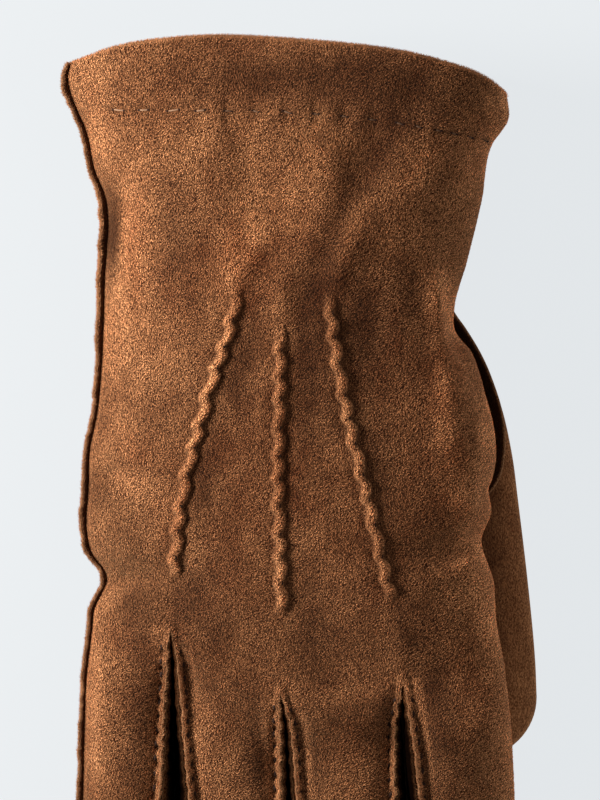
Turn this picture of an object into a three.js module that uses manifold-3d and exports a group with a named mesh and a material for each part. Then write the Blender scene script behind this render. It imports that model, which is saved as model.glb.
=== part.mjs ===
// A suede dress glove for a right hand. It lies palm down, still a little full, as if the hand had just left it.
// Millimetres, +Z up, and the glove rests on z = 0. +Y points out of the cuff, and +X to the thumb's side.
// The trank is one cut of leather: it starts at the little finger's seam, crosses the back, folds round the
// index side, and comes back across the palm to the seam. Three fourchettes make the fingers' inner sides, and
// the thumb is a piece of its own, sewn to a hole in the palm. Seams stand outward, with both cut edges showing.

import * as THREE from 'three';
import Module from 'manifold-3d';
import { mergeVertices } from 'three/addons/utils/BufferGeometryUtils.js';

// Driving sizes
const leather = 1.4;
const seamGap = 0.3; // between two layers that are sewn face to face
const hemThickness = 3; // the cuff's edge is folded in, so it is two layers
const seamStand = 1.8; // how far the cut edges stand above a finger seam
const palmSeamStand = 1.1; // the same under the fingers, where the glove rests on them
const sideSeamWidth = 2; // the little finger's seam, seen from above
const pointStand = 2.2; // height of the three sewn ridges on the back
const pointHalfWidth = 1.9;
const pointWave = 0.6; // how far a ridge swings to each side from stitch to stitch
const pointFade = { start: 7, end: 3 }; // the lengths over which a ridge rises and falls
const forkOpening = 1.5; // the length over which two fingers part
const fingerEaseIn = 18; // the length over which the hand's section turns into a finger's
const fourchetteBulge = 1.6; // how far a fourchette swells at most towards its other side
const fourchetteApart = 0.25; // half of what is left between the two sides
const forkClearance = 0.7; // between the trank's cut at a fork and the fourchette's fold

// Where the cuff's edge, the hem's stitching and the finger forks cross the back
const guideLines = [
  { x: -57, cuff: 85.5, hem: 73, fork: -54 },
  { x: -45, cuff: 88.7, hem: 73.2, fork: -55.5 },
  { x: -32.3, cuff: 90.3, hem: 73, fork: -57 },
  { x: -20, cuff: 91, hem: 72.8, fork: -64 },
  { x: -5, cuff: 90.3, hem: 72.5, fork: -72 },
  { x: 10, cuff: 89, hem: 71.5, fork: -72 },
  { x: 25.8, cuff: 87, hem: 69.5, fork: -69.5 },
  { x: 38, cuff: 83.8, hem: 67.3, fork: -68 },
  { x: 47, cuff: 80.2, hem: 65.5, fork: -66.8 },
  { x: 52, cuff: 76.5, hem: 64.3, fork: -66 },
];

// The outline's left side, at the seam's cut edges
const seamSide = [
  { y: 85.5, x: -57.3 },
  { y: 80.5, x: -59 },
  { y: 76.5, x: -58.4 },
  { y: 72.5, x: -56.7 },
  { y: 67.5, x: -54.4 },
  { y: 57.5, x: -52.3 },
  { y: 50, x: -49.9 },
  { y: 30, x: -50.3 },
  { y: 10, x: -50.6 },
  { y: -3, x: -51.6 },
  { y: -13, x: -53.6 },
  { y: -22, x: -54.1 },
  { y: -32, x: -54.6 },
  { y: -38, x: -53.2 },
  { y: -44.3, x: -49.2 },
  { y: -52, x: -52.2 },
  { y: -61, x: -53.7 },
];

// The outline's right side, where the trank folds round to the palm
const foldSide = [
  { y: 76, x: 51.7 },
  { y: 70, x: 52 },
  { y: 63.5, x: 47.8 },
  { y: 50, x: 45.4 },
  { y: 34, x: 41.5 },
  { y: 23, x: 38.6 },
  { y: 13, x: 43.5 },
  { y: 5, x: 47.3 },
  { y: -8, x: 49.2 },
  { y: -22, x: 47.2 },
  { y: -28, x: 47.6 },
  { y: -35, x: 45.2 },
  { y: -45, x: 48.2 },
  { y: -55, x: 48.9 },
  { y: -66, x: 51 },
];

// The hand's heights: its side seam, its highest line and its folded side
const handHeights = [
  { y: 91, seam: 12.5, crest: 28, fold: 15 },
  { y: 72, seam: 12, crest: 31, fold: 15 },
  { y: 45, seam: 11, crest: 30.5, fold: 15 },
  { y: 24, seam: 10, crest: 30, fold: 16 },
  { y: 0, seam: 10, crest: 31.5, fold: 18 },
  { y: -25, seam: 10, crest: 31, fold: 18.5 },
  { y: -50, seam: 9, crest: 28.5, fold: 18 },
  { y: -75, seam: 8, crest: 24, fold: 17 },
];

// How round the hand is at its side seam (left) and its folded side (right), and the share of its width over which
// the palm curls up to each
const handShape = { leftRound: 0.8, rightRound: 0.5, leftCurl: 0.16, rightCurl: 0.17 };
const domePower = 2.2; // 2 makes a section an oval, and more makes it flatter on top
const thumbSlope = { before: 14, past: 3 }; // the palm rises onto the thumb from before its edge to past it

// The three sewn ridges, from the wrist to the forks they point at
const pointLines = [
  { y: 91, first: -24, second: -3, third: 17 },
  { y: 60, first: -17, second: -3.6, third: 9.5 },
  { y: 27, first: -15.6, second: -4.8, third: 7.2 },
  { y: 0, first: -23.4, second: -5.2, third: 11 },
  { y: -25, first: -29.6, second: -5.5, third: 16.8 },
  { y: -48, first: -31.8, second: -4.8, third: 22.2 },
  { y: -57, first: -32.3, second: -4.9, third: 24.5 },
  { y: -72, first: -32.6, second: -5, third: 25.8 },
];
const points = [
  { line: 'first', start: 27, end: -44.5 },
  { line: 'second', start: 20, end: -53 },
  { line: 'third', start: 25, end: -49.5 },
];

// Soft ridges (rise above 0) and dents in the back: centre, turn from +X, half length, half width
const backFolds = [
  { x: -39, y: 33, turn: 92, length: 18, width: 4.5, rise: 1.8 },
  { x: -32, y: 43, turn: 88, length: 16, width: 4, rise: -1.4 },
  { x: -45, y: 43, turn: 90, length: 11, width: 2.8, rise: -1.8 },
  { x: -20, y: 64, turn: 95, length: 9, width: 3.5, rise: 1.2 },
  { x: -14, y: 60, turn: 100, length: 14, width: 5, rise: -1.6 },
  { x: 22.5, y: 50.5, turn: 49, length: 16, width: 4.2, rise: 2.3 },
  { x: 29, y: 44, turn: 50, length: 13, width: 4.5, rise: -2 },
  { x: 14, y: 58, turn: 50, length: 14, width: 6, rise: -1.8 },
  { x: 9.5, y: 34, turn: 78, length: 9, width: 3.2, rise: 1.5 },
  { x: 34.5, y: 22, turn: 97, length: 10, width: 3, rise: 2.2 },
  { x: 40, y: 13, turn: 110, length: 9, width: 3.4, rise: -2.6 },
  { x: 37.5, y: 1, turn: 92, length: 11, width: 3.4, rise: 1.6 },
  { x: -47, y: -19, turn: -12, length: 8, width: 2.6, rise: -1.8 },
  { x: -47, y: -44.5, turn: 8, length: 9, width: 3, rise: -1.6 },
  { x: 43, y: -35, turn: 15, length: 10, width: 3.2, rise: -1.8 },
];

// The fingers. x is the middle of each at measureY, lean turns its tip towards +X, and reach runs from there to
// the tip. edge is the height of its side seam or folded side, and corner that of its seams to the fourchettes.
const measureY = -78;
const fingerShape = { seamRound: 0.75, foldRound: 0.5, cornerRound: 0.9, outerCurl: 0.4, cornerCurl: 0.15 };
const fingers = [
  { name: 'little', x: -43.8, lean: -2.2, reach: 41, width: 21.8, taper: 0.94, edge: 8, corner: 12.5, crest: 18 },
  { name: 'ring', x: -17.4, lean: 3, reach: 70, width: 26.2, taper: 0.84, edge: 0, corner: 14.5, crest: 20 },
  { name: 'middle', x: 10.7, lean: 2, reach: 80, width: 27.8, taper: 0.83, edge: 0, corner: 15, crest: 21 },
  { name: 'index', x: 39.5, lean: 4.6, reach: 68, width: 26, taper: 0.86, edge: 9, corner: 13, crest: 19 },
];
const tipRound = 12; // the length over which a tip closes
const tipNarrow = 0.36; // how much of its width a finger loses over that length
const tipHeight = 7; // where the back and palm meet at a tip
const tipCurve = { square: 2.4, corner: 0.96 }; // how blunt a tip is, and how much of it the corners close
const tipSeamStand = 0.4; // share of a finger seam's height that is left where a tip closes
const fingerSlim = 0.88; // height of a finger near its tip, as a share of that at its root
const indexLandsAt = 40; // past the thumb's tip the index finger comes down to the surface, this far along it

// The thumb, lying under the palm's folded side
const thumbSections = [
  { y: 24, left: 27, right: 37.6, top: 3.2 },
  { y: 14, left: 22, right: 43.8, top: 5.2 },
  { y: 0, left: 20, right: 50, top: 7.4 },
  { y: -13, left: 21, right: 53.1, top: 8.7 },
  { y: -25, left: 23, right: 54.7, top: 9 },
  { y: -45, left: 26.5, right: 57.1, top: 9 },
  { y: -65, left: 28.6, right: 59, top: 9 },
  { y: -74.5, left: 28.8, right: 59.4, top: 9 },
];
const thumbTip = { y: -74.5, round: 15.3, blunt: 0.6 };
const thumbClosedEnd = 4.5; // solid leather at its upper end, where both seams meet
const thumbSides = 20;
const thumbLiftFade = 34; // towards the wrist, the length over which the palm comes down again
const thumbSquareness = 0.72; // 1 is an oval section, and less is flatter above and below
const thumbHole = { x: 33, y: -3, halfWidth: 10, halfLength: 19, bottom: 2.6, top: 13, sides: 24 };

const radians = Math.PI / 180;
const mix = (a, b, t) => a + (b - a) * t;
const clamp = (value, low, high) => Math.min(Math.max(value, low), high);
const ease = (t) => clamp(t, 0, 1) ** 2 * (3 - 2 * clamp(t, 0, 1));

// The value of one column of a table at a place along its key column, as one smooth curve through the rows.
function lookUp(table, key, column, at) {
  const last = table.length - 1;
  const way = Math.sign(table[last][key] - table[0][key]);
  let i = 0;
  while (i < last - 1 && way * at > way * table[i + 1][key]) i += 1;
  const rise = (k) => (table[k + 1][column] - table[k][column]) / (table[k + 1][key] - table[k][key]);
  const slope = (k) => (rise(Math.max(k - 1, 0)) + rise(Math.min(k, last - 1))) / 2;
  const span = table[i + 1][key] - table[i][key];
  const t = clamp((at - table[i][key]) / span, 0, 1);
  const start = table[i][column] * (1 + 2 * t) * (1 - t) ** 2 + table[i + 1][column] * t * t * (3 - 2 * t);
  return start + span * (slope(i) * t * (1 - t) ** 2 - slope(i + 1) * t * t * (1 - t));
}

const seamX = (y) => lookUp(seamSide, 'y', 'x', y) + sideSeamWidth;
const foldX = (y) => lookUp(foldSide, 'y', 'x', y);

// A section across the hand or a finger, from its left end (share 0) to its right end (share 1).
function dome(share, leftRound, rightRound) {
  return (1 - Math.abs(2 * share - 1) ** domePower) ** mix(leftRound, rightRound, share);
}

function topOf(section, share) {
  const ends = mix(section.leftTop, section.rightTop, share);
  const middle = (section.leftTop + section.rightTop) / 2;
  return ends + (section.crest - middle) * dome(share, section.leftRound, section.rightRound);
}

function underOf(section, share) {
  const floor = section.floor(share);
  const left = clamp(1 - (share - section.leftInset) / section.leftCurl, 0, 1) ** 2;
  const right = 1 - Math.sqrt(1 - clamp((share - 1 + section.rightInset) / section.rightCurl + 1, 0, 1) ** 2);
  return floor + (section.leftUnder - floor) * left + (section.rightUnder - floor) * right;
}

const sideLayer = leather + seamGap / 2 + 0.2; // half the side seam's thickness at its root

// How far the thumb lifts the palm that lies on it.
function thumbLift(y) {
  const start = thumbSections[0].y;
  const top = lookUp(thumbSections, 'y', 'top', clamp(y, thumbTip.y, start));
  return (top + seamGap + 0.05) * (1 - ease((y - start) / thumbLiftFade));
}

function handSection(y) {
  const height = (column) => lookUp(handHeights, 'y', column, y);
  const left = seamX(y);
  const width = foldX(y) - left;
  const thumbLeft = lookUp(thumbSections, 'y', 'left', clamp(y, thumbTip.y, thumbSections[0].y));
  const rise = (x) => ease((x - thumbLeft + thumbSlope.before) / (thumbSlope.before + thumbSlope.past));
  return {
    left,
    width,
    leftTop: height('seam') + sideLayer,
    leftUnder: height('seam') - sideLayer,
    rightTop: height('fold'),
    rightUnder: height('fold'),
    crest: height('crest'),
    ...handShape,
    leftInset: 0,
    rightInset: 0,
    floor: (share) => thumbLift(y) * rise(left + width * share),
  };
}

function foldsAt(x, y) {
  return backFolds.reduce((sum, fold) => {
    const along = (x - fold.x) * Math.cos(fold.turn * radians) + (y - fold.y) * Math.sin(fold.turn * radians);
    const across = (y - fold.y) * Math.cos(fold.turn * radians) - (x - fold.x) * Math.sin(fold.turn * radians);
    return sum + fold.rise * Math.exp(-((along / fold.length) ** 2) - (across / fold.width) ** 2);
  }, 0);
}

// The trank's columns of vertices, in order round the hand. A column lies in one finger's strip, or is the line
// that parts two fingers: a point's ridge on the back, and beyond the fork the cut edges of both fingers' seams.
const baseOffset = 2 * leather + 2 * seamGap + 0.1; // from a finger's side to the root of its standing edge
const edgeOffset = 2 * leather + seamGap; // from a finger's side to the inner face of its standing edge
const indexFoldSteps = 5;
const palmFoldSteps = 3;

function strip(face, finger, inner) {
  const shares = Array.from({ length: inner }, (_, k) => (k + 1) / (inner + 1));
  const columns = shares.map((share) => ({ face, finger, kind: 'inner', share }));
  const left = { face, finger, kind: finger === 0 ? 'seamBase' : 'leftBase' };
  return [left, ...columns, { face, finger, kind: 'rightBase' }];
}

function indexStrip() {
  const back = Array.from({ length: indexFoldSteps }, (_, k) => ({
    face: 'back', finger: 3, kind: 'roundTop', turn: ((k + 1) / indexFoldSteps) * 90,
  }));
  const palm = Array.from({ length: palmFoldSteps }, (_, k) => ({
    face: 'palm', finger: 3, kind: 'roundUnder', turn: ((k + 1) / palmFoldSteps) * 90,
  }));
  const lastInner = { face: 'palm', finger: 3, kind: 'inner', share: 0.4 };
  const leftBase = (face) => ({ face, finger: 3, kind: 'leftBase' });
  return [leftBase('back'), ...back, ...palm, lastInner, leftBase('palm')];
}

const fork = (face, number) => ({ face, fork: number, kind: 'fork' });
const backInner = 3;
const palmInner = 2;
const trankColumns = [
  { face: 'back', finger: 0, kind: 'seamEdge' },
  ...strip('back', 0, backInner), fork('back', 0),
  ...strip('back', 1, backInner), fork('back', 1),
  ...strip('back', 2, backInner), fork('back', 2),
  ...indexStrip(), fork('palm', 2),
  ...strip('palm', 2, palmInner).reverse(), fork('palm', 1),
  ...strip('palm', 1, palmInner).reverse(), fork('palm', 0),
  ...strip('palm', 0, palmInner).reverse(),
  { face: 'palm', finger: 0, kind: 'seamEdge' },
];

// Share across a section at which a column lies, given the section's zone for that column's finger.
function shareOf(column, zone) {
  const low = zone.start + zone.startInset;
  const high = zone.end - zone.endInset;
  if (column.kind === 'leftBase') return low;
  if (column.kind === 'rightBase') return high;
  if (column.kind === 'inner') return mix(low, high, column.share);
  if (column.kind === 'roundTop') return mix(low, 1, Math.sin(column.turn * radians));
  if (column.kind === 'roundUnder') return 1 - zone.curl * (1 - Math.cos(column.turn * radians));
  return 0;
}

function handShare(column, y, section) {
  const lines = points.map(({ line }) => (lookUp(pointLines, 'y', line, y) - section.left) / section.width);
  const bounds = [0, ...lines, 1];
  if (column.kind === 'fork') return bounds[column.fork + 1];
  return shareOf(column, {
    start: bounds[column.finger],
    end: bounds[column.finger + 1],
    startInset: column.finger === 0 ? 0 : baseOffset / section.width,
    endInset: baseOffset / section.width,
    curl: section.rightCurl,
  });
}

// How much of a point's ridge stands at a place along it.
function ridgeAt(number, y) {
  const { start, end } = points[number];
  return ease((start - y) / pointFade.start) * ease((y - end) / pointFade.end);
}

// A row crosses the hand at a share of the way from one guide line to the next. Its place on a column takes a few
// rounds to settle, because the guide lines bend a little along x.
function handPoint(column, row) {
  let y = 0;
  let section = null;
  let share = 0;
  for (let round = 0; round < 4; round += 1) {
    section = handSection(y);
    share = handShare(column, y, section);
    const at = (line) => lookUp(guideLines, 'x', line, section.left + section.width * share);
    y = mix(at(row.from), at(row.to), row.share);
  }
  section = handSection(y);
  share = handShare(column, y, section);
  const x = section.left + section.width * share;
  const back = column.face === 'back';
  if (column.kind === 'seamEdge') return seamEdge(x - sideSeamWidth, y, section, back);
  const flat = back ? topOf(section, share) + foldsAt(x, y) * ease(share / 0.06) : underOf(section, share);
  const point = { top: new THREE.Vector3(x, y, flat), thickness: row.thick ? hemThickness : leather };
  if (column.kind === 'seamBase') point.thickness = leather;
  if (!back && column.kind === 'fork') point.under = new THREE.Vector3(x, y, flat + point.thickness);
  if (back && column.kind === 'fork') {
    const stand = ridgeAt(column.fork, y);
    point.under = new THREE.Vector3(x, y, flat - point.thickness);
    point.top.z += stand * pointStand;
    point.top.x += stand * pointWave * row.wave;
  }
  if (back && (column.kind === 'leftBase' || column.kind === 'rightBase')) {
    const number = column.kind === 'leftBase' ? column.finger - 1 : column.finger;
    const inward = (baseOffset - pointHalfWidth) * ridgeAt(number, y);
    point.top.x += column.kind === 'leftBase' ? -inward : inward;
  }
  return point;
}

// The cut edge of one layer of the side seam.
function seamEdge(x, y, section, back) {
  const middle = (section.leftTop + section.leftUnder) / 2;
  const way = back ? 1 : -1;
  return {
    top: new THREE.Vector3(x, y, middle + way * (seamGap / 2 + leather - 0.1)),
    under: new THREE.Vector3(x, y, middle + way * (seamGap / 2)),
  };
}

// A finger's section at a distance past measureY, and along its own direction.
function fingerSection(finger, distance) {
  const number = fingers.indexOf(finger);
  const toTip = clamp(distance / finger.reach, 0, 1);
  const slim = mix(1, fingerSlim, toTip);
  const raised = number === 3 ? thumbLift(thumbTip.y) * (1 - ease(distance / indexLandsAt)) : 0;
  const corner = { top: raised + finger.corner * slim, under: raised + palmSeamStand + 0.1 };
  const edge = raised + finger.edge * slim;
  const width = finger.width * mix(1, finger.taper, toTip);
  return {
    width,
    leftInset: number === 0 ? 0 : baseOffset / width,
    rightInset: number === 3 ? 0 : baseOffset / width,
    crest: raised + finger.crest * slim,
    leftTop: number === 0 ? edge + sideLayer : corner.top,
    leftUnder: number === 0 ? edge - sideLayer : corner.under,
    rightTop: number === 3 ? edge : corner.top,
    rightUnder: number === 3 ? edge : corner.under,
    leftRound: number === 0 ? fingerShape.seamRound : fingerShape.cornerRound,
    rightRound: number === 3 ? fingerShape.foldRound : fingerShape.cornerRound,
    leftCurl: number === 0 ? fingerShape.outerCurl : fingerShape.cornerCurl,
    rightCurl: number === 3 ? fingerShape.outerCurl : fingerShape.cornerCurl,
    floor: () => raised,
    middle: mix(edge || raised + tipHeight, tipHeight, ease((distance / finger.reach - 0.5) * 2)),
  };
}

// A point of a finger's frame: across from its middle line, along it from measureY, and up.
function fingerFrame(finger, across, distance, z) {
  const turn = finger.lean * radians;
  return new THREE.Vector3(
    finger.x + Math.sin(turn) * distance + Math.cos(turn) * across,
    measureY - Math.cos(turn) * distance + Math.sin(turn) * across,
    z,
  );
}

// Where a line along a finger ends, so that its tip is round seen from above. aside is the line's distance from
// the finger's middle, as a share of the finger's width.
function reachAt(finger, aside) {
  const closing = tipCurve.corner * clamp(2 * aside, 0, 1) ** tipCurve.square;
  return finger.reach - tipRound * (1 - Math.sqrt(1 - closing));
}

// A column's point in a finger, where end is the distance at which the column closes.
function fingerPoint(column, finger, distance, end) {
  const section = fingerSection(finger, distance);
  const number = fingers.indexOf(finger);
  const edgeColumn = column.kind === 'fork';
  const side = edgeColumn ? column.side : 0;
  const insets = { startInset: section.leftInset, endInset: section.rightInset };
  const zone = { start: 0, end: 1, curl: section.rightCurl, ...insets };
  const edgeShare = side > 0 ? 1 - section.rightInset : section.leftInset;
  const share = edgeColumn ? edgeShare : shareOf(column, zone);
  const back = column.face === 'back';
  const way = back ? 1 : -1;
  const open = Math.sqrt(1 - (1 - clamp((end - distance) / tipRound, 0, 1)) ** 2);
  const past = clamp((distance - finger.reach) / tipRound + 1, 0, 1);
  const narrow = 1 - tipNarrow * (1 - Math.sqrt(1 - past ** 2));
  const full = back ? topOf(section, share) : underOf(section, share);
  const flat = section.middle + (full - section.middle) * open;
  const meet = section.middle + way * seamGap / 2;
  const z = back ? Math.max(flat, meet) : Math.min(flat, meet);
  const across = (share - 0.5) * section.width * narrow;
  if (column.kind === 'seamEdge') {
    const outer = fingerFrame(finger, -section.width * narrow / 2 - 0.1, distance, 0);
    return seamEdge(outer.x, outer.y, section, back);
  }
  const stepIn = column.kind === 'seamBase' ? sideSeamWidth : 0;
  if (!edgeColumn) return { top: fingerFrame(finger, across + stepIn, distance, z), meet, way };
  const stand = (back ? seamStand : -palmSeamStand) * mix(tipSeamStand, 1, open);
  const outer = section.width * 0.5 - (section.width * 0.5 - baseOffset) * (1 - narrow);
  return {
    top: fingerFrame(finger, side * (outer - edgeOffset), distance, z + stand),
    under: fingerFrame(finger, side * (outer - leather - seamGap), distance, z + stand),
    wallInner: fingerFrame(finger, side * (outer - leather), distance, z + stand),
    wallOuter: fingerFrame(finger, side * outer, distance, z + stand),
  };
}

// Rows along the hand, from the cuff's edge to the forks, and along the fingers, as shares of their length.
const hemRows = [0, 0.5, 1];
const plainRows = 7;
const ridgeRows = 25;
const ridgeStart = 0.3; // share of the way from the hem's stitching to the forks
const ridgeEnd = 0.955;
const forkRow = { from: 'hem', to: 'fork', share: 1, wave: 0 };
const handRows = [
  ...hemRows.map((share) => ({ from: 'cuff', to: 'hem', share, thick: true, wave: 0 })),
  ...Array.from({ length: plainRows }, (_, k) => ({
    from: 'hem', to: 'fork', share: mix(0.008, ridgeStart, k / plainRows), wave: 0,
  })),
  ...Array.from({ length: ridgeRows + 1 }, (_, k) => ({
    from: 'hem', to: 'fork', share: mix(ridgeStart, ridgeEnd, k / ridgeRows), wave: k % 2 ? 1 : -1,
  })),
  forkRow,
];
const fingerRows = [0, 0.05, 0.14, 0.28, 0.44, 0.6, 0.74, 0.85, 0.93, 0.98, 1];

// A column's points along a finger, eased in from where the hand ends.
function fingerColumn(column, number) {
  const finger = fingers[number];
  const root = handPoint(column, forkRow);
  const rootDistance = (measureY - root.top.y) / Math.cos(finger.lean * radians);
  const probe = fingerPoint(column, finger, rootDistance, finger.reach);
  const aside = probe.top.distanceTo(fingerFrame(finger, 0, rootDistance, probe.top.z));
  const end = reachAt(finger, aside / fingerSection(finger, rootDistance).width);
  return fingerRows.map((share) => {
    const distance = mix(rootDistance + forkOpening, end, share);
    const made = fingerPoint(column, finger, distance, end);
    const past = distance - rootDistance;
    const keep = 1 - ease(past / fingerEaseIn);
    const shift = root.top.clone().sub(probe.top);
    if (column.kind === 'fork') shift.x *= past >= forkOpening ? 0 : 1;
    else shift.x *= keep;
    made.top.x += shift.x;
    made.top.z += shift.z * keep;
    [made.under, made.wallInner, made.wallOuter].filter(Boolean).forEach((place) => {
      place.x += shift.x;
      place.z += shift.z * keep;
    });
    return made;
  });
}

// A sheet of leather between its outer and inner points, which share one list of four-sided faces.
// Where a point gives no inner place, it lies one thickness in, square to the surface.
function sheet(pointList, quads) {
  const normals = pointList.map(() => new THREE.Vector3());
  const across = new THREE.Vector3();
  const along = new THREE.Vector3();
  quads.forEach(([a, b, c, d]) => {
    across.subVectors(pointList[c].top, pointList[a].top);
    along.subVectors(pointList[d].top, pointList[b].top);
    const normal = across.clone().cross(along);
    [a, b, c, d].forEach((k) => normals[k].add(normal));
  });
  const inner = pointList.map((point, k) => {
    if (point.under) return point.under;
    const under = point.top.clone().addScaledVector(normals[k].normalize(), -(point.thickness || leather));
    if (point.way) under.z = point.way > 0 ? Math.max(under.z, point.meet) : Math.min(under.z, point.meet);
    return under;
  });
  const count = pointList.length;
  const triangles = quads.flatMap(([a, b, c, d]) => [
    a, b, c, a, c, d, a + count, c + count, b + count, a + count, d + count, c + count,
  ]);
  const used = new Set(quads.flatMap(([a, b, c, d]) => [`${a} ${b}`, `${b} ${c}`, `${c} ${d}`, `${d} ${a}`]));
  used.forEach((edge) => {
    const [from, to] = edge.split(' ').map(Number);
    if (used.has(`${to} ${from}`)) return;
    triangles.push(to, from, from + count, to, from + count, to + count);
  });
  const positions = [...pointList.map((point) => point.top), ...inner].flatMap((p) => [p.x, p.y, p.z]);
  return geometryOf(positions, triangles);
}

function geometryOf(positions, triangles) {
  const geometry = new THREE.BufferGeometry();
  geometry.setAttribute('position', new THREE.Float32BufferAttribute(positions, 3));
  geometry.setIndex(triangles);
  return geometry;
}

function makeTrank() {
  const made = [];
  const add = (point) => made.push(point) - 1;
  const quads = [];
  const join = (upper, lower) => {
    for (let k = 0; k + 1 < upper.length; k += 1) quads.push([upper[k], lower[k], lower[k + 1], upper[k + 1]]);
  };
  const rows = handRows.map((row) => trankColumns.map((column) => add(handPoint(column, row))));
  rows.slice(1).forEach((row, k) => join(rows[k], row));
  const forks = trankColumns.flatMap((column, k) => (column.kind === 'fork' ? [k] : []));
  const cuts = [0, ...forks, trankColumns.length - 1];
  cuts.slice(1).forEach((end, k) => {
    const start = cuts[k];
    const number = k <= 3 ? k : 6 - k;
    const columns = trankColumns.slice(start, end + 1).map((column) => {
      const side = column.fork === number ? 1 : -1;
      return fingerColumn({ ...column, side }, number);
    });
    let upper = rows[rows.length - 1].slice(start, end + 1);
    fingerRows.forEach((_, r) => {
      const lower = columns.map((column) => add(column[r]));
      join(upper, lower);
      upper = lower;
    });
  });
  return sheet(made, quads);
}

// Half the room between a finger and the one across the fork from it.
function roomBeside(finger, side, y) {
  const sideX = (at, sign) => {
    const distance = (measureY - y) / Math.cos(at.lean * radians);
    if (distance > at.reach) return sign * -100;
    return fingerFrame(at, (sign * fingerSection(at, distance).width) / 2, distance, 0).x;
  };
  const neighbour = fingers[fingers.indexOf(finger) + side];
  return (side * (sideX(neighbour, -side) - sideX(finger, side))) / 2;
}

// A fourchette is one strip that runs up a finger's side, round the fork, and down the next finger's side.
// Its cut edges stand beside the trank's. Between them it swells until its two sides nearly meet.
function makeFourchette(number) {
  const level = (upper, lower, share, finger, side) => {
    const outer = lower.wallOuter.clone().lerp(upper.wallOuter, share);
    const inner = lower.wallInner.clone().lerp(upper.wallInner, share);
    const room = roomBeside(fingers[finger], side, outer.y) - fourchetteApart;
    const swell = clamp(room, 0, fourchetteBulge) * Math.sin(share * Math.PI);
    const outward = outer.clone().sub(inner).setZ(0).normalize().multiplyScalar(swell);
    return { top: outer.add(outward), under: inner.add(outward) };
  };
  const levels = [0, 0.5, 1];
  const arm = (finger, side) => {
    const edge = (face) => fingerColumn({ face, fork: number, kind: 'fork', side }, finger);
    const lower = edge('palm');
    return edge('back').map((upper, r) => {
      const atFork = r === 0 ? 1 : 0;
      return levels.map((share) => {
        const point = level(upper, lower[r], share, finger, side);
        point.top.y -= forkClearance * atFork;
        point.under.y -= seamGap * atFork;
        point.under.lerp(point.top, seamGap * 0.5 * atFork);
        return point;
      });
    });
  };
  const root = (face) => handPoint(fork(face, number), forkRow).top;
  const apex = levels.map((share) => {
    const place = root('palm').lerp(root('back').setZ(root('back').z + seamStand / 2), share);
    const inner = place.y - forkClearance;
    return { top: place.clone().setY(inner - leather), under: place.clone().setY(inner) };
  });
  const columns = [...arm(number, 1).reverse(), apex, ...arm(number + 1, -1)];
  const made = columns.flat();
  const quads = [];
  for (let k = 0; k + 1 < columns.length; k += 1) {
    for (let l = 0; l + 1 < levels.length; l += 1) {
      const at = k * levels.length + l;
      quads.push([at, at + levels.length, at + levels.length + 1, at + 1]);
    }
  }
  return sheet(made, quads);
}

const wasm = await Module();
wasm.setup();

function solidOf(geometry) {
  const bare = geometry.clone();
  bare.deleteAttribute('normal');
  bare.deleteAttribute('uv');
  const merged = mergeVertices(bare, 1e-4);
  return new wasm.Manifold(new wasm.Mesh({
    numProp: 3,
    vertProperties: merged.attributes.position.array,
    triVerts: new Uint32Array(merged.index.array),
  }));
}

function geometryFrom(solid) {
  const mesh = solid.getMesh();
  const geometry = new THREE.BufferGeometry();
  geometry.setAttribute('position', new THREE.BufferAttribute(mesh.vertProperties, 3));
  geometry.setIndex(new THREE.BufferAttribute(mesh.triVerts, 1));
  return geometry;
}

// A closed body through rings of points, all with the same count, with flat ends.
function loft(rings) {
  const count = rings[0].length;
  const triangles = [];
  rings.slice(1).forEach((_, k) => {
    for (let j = 0; j < count; j += 1) {
      const next = (j + 1) % count;
      const [a, b, c, d] = [k * count + j, k * count + next, (k + 1) * count + next, (k + 1) * count + j];
      triangles.push(a, b, c, a, c, d);
    }
  });
  const last = (rings.length - 1) * count;
  for (let j = 1; j + 1 < count; j += 1) {
    triangles.push(0, j + 1, j);
    triangles.push(last, last + j, last + j + 1);
  }
  return geometryOf(rings.flat().flatMap((p) => [p.x, p.y, p.z]), triangles);
}

// The thumb's outside, or its inside at an inset of one thickness of leather.
function thumbBody(inset) {
  const ring = (y, half, height) => {
    const at = clamp(y, thumbTip.y, thumbSections[0].y);
    const left = lookUp(thumbSections, 'y', 'left', at);
    const right = lookUp(thumbSections, 'y', 'right', at);
    const top = lookUp(thumbSections, 'y', 'top', at);
    return Array.from({ length: thumbSides }, (_, k) => {
      const turn = (k / thumbSides) * 2 * Math.PI;
      const square = (value) => Math.sign(value) * Math.abs(value) ** thumbSquareness;
      const x = (left + right) / 2 + ((right - left) / 2 - inset) * half * square(Math.cos(turn));
      const z = top / 2 + (top / 2 - inset) * height * square(Math.sin(turn));
      return new THREE.Vector3(x, y, z);
    });
  };
  const start = thumbSections[0].y - (inset ? thumbClosedEnd : 0);
  const rings = [ring(start, 1, 1)];
  thumbSections.slice(1).forEach((row, k) => {
    const before = k ? thumbSections[k].y : start;
    rings.push(ring((before + row.y) / 2, 1, 1), ring(row.y, 1, 1));
  });
  [20, 40, 60, 78].forEach((turn) => {
    const reach = (thumbTip.round - inset) * Math.sin(turn * radians);
    const shrink = Math.cos(turn * radians);
    rings.push(ring(thumbTip.y - reach, shrink, shrink ** thumbTip.blunt));
  });
  return loft(rings);
}

// The oval hole through the palm and the thumb's upper side, where the two are sewn together.
function thumbHoleBody() {
  const ring = (z) => Array.from({ length: thumbHole.sides }, (_, k) => {
    const turn = (k / thumbHole.sides) * 2 * Math.PI;
    const x = thumbHole.x + thumbHole.halfWidth * Math.cos(turn);
    return new THREE.Vector3(x, thumbHole.y + thumbHole.halfLength * Math.sin(turn), z);
  });
  return loft([ring(thumbHole.bottom), ring(thumbHole.top)]);
}

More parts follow.
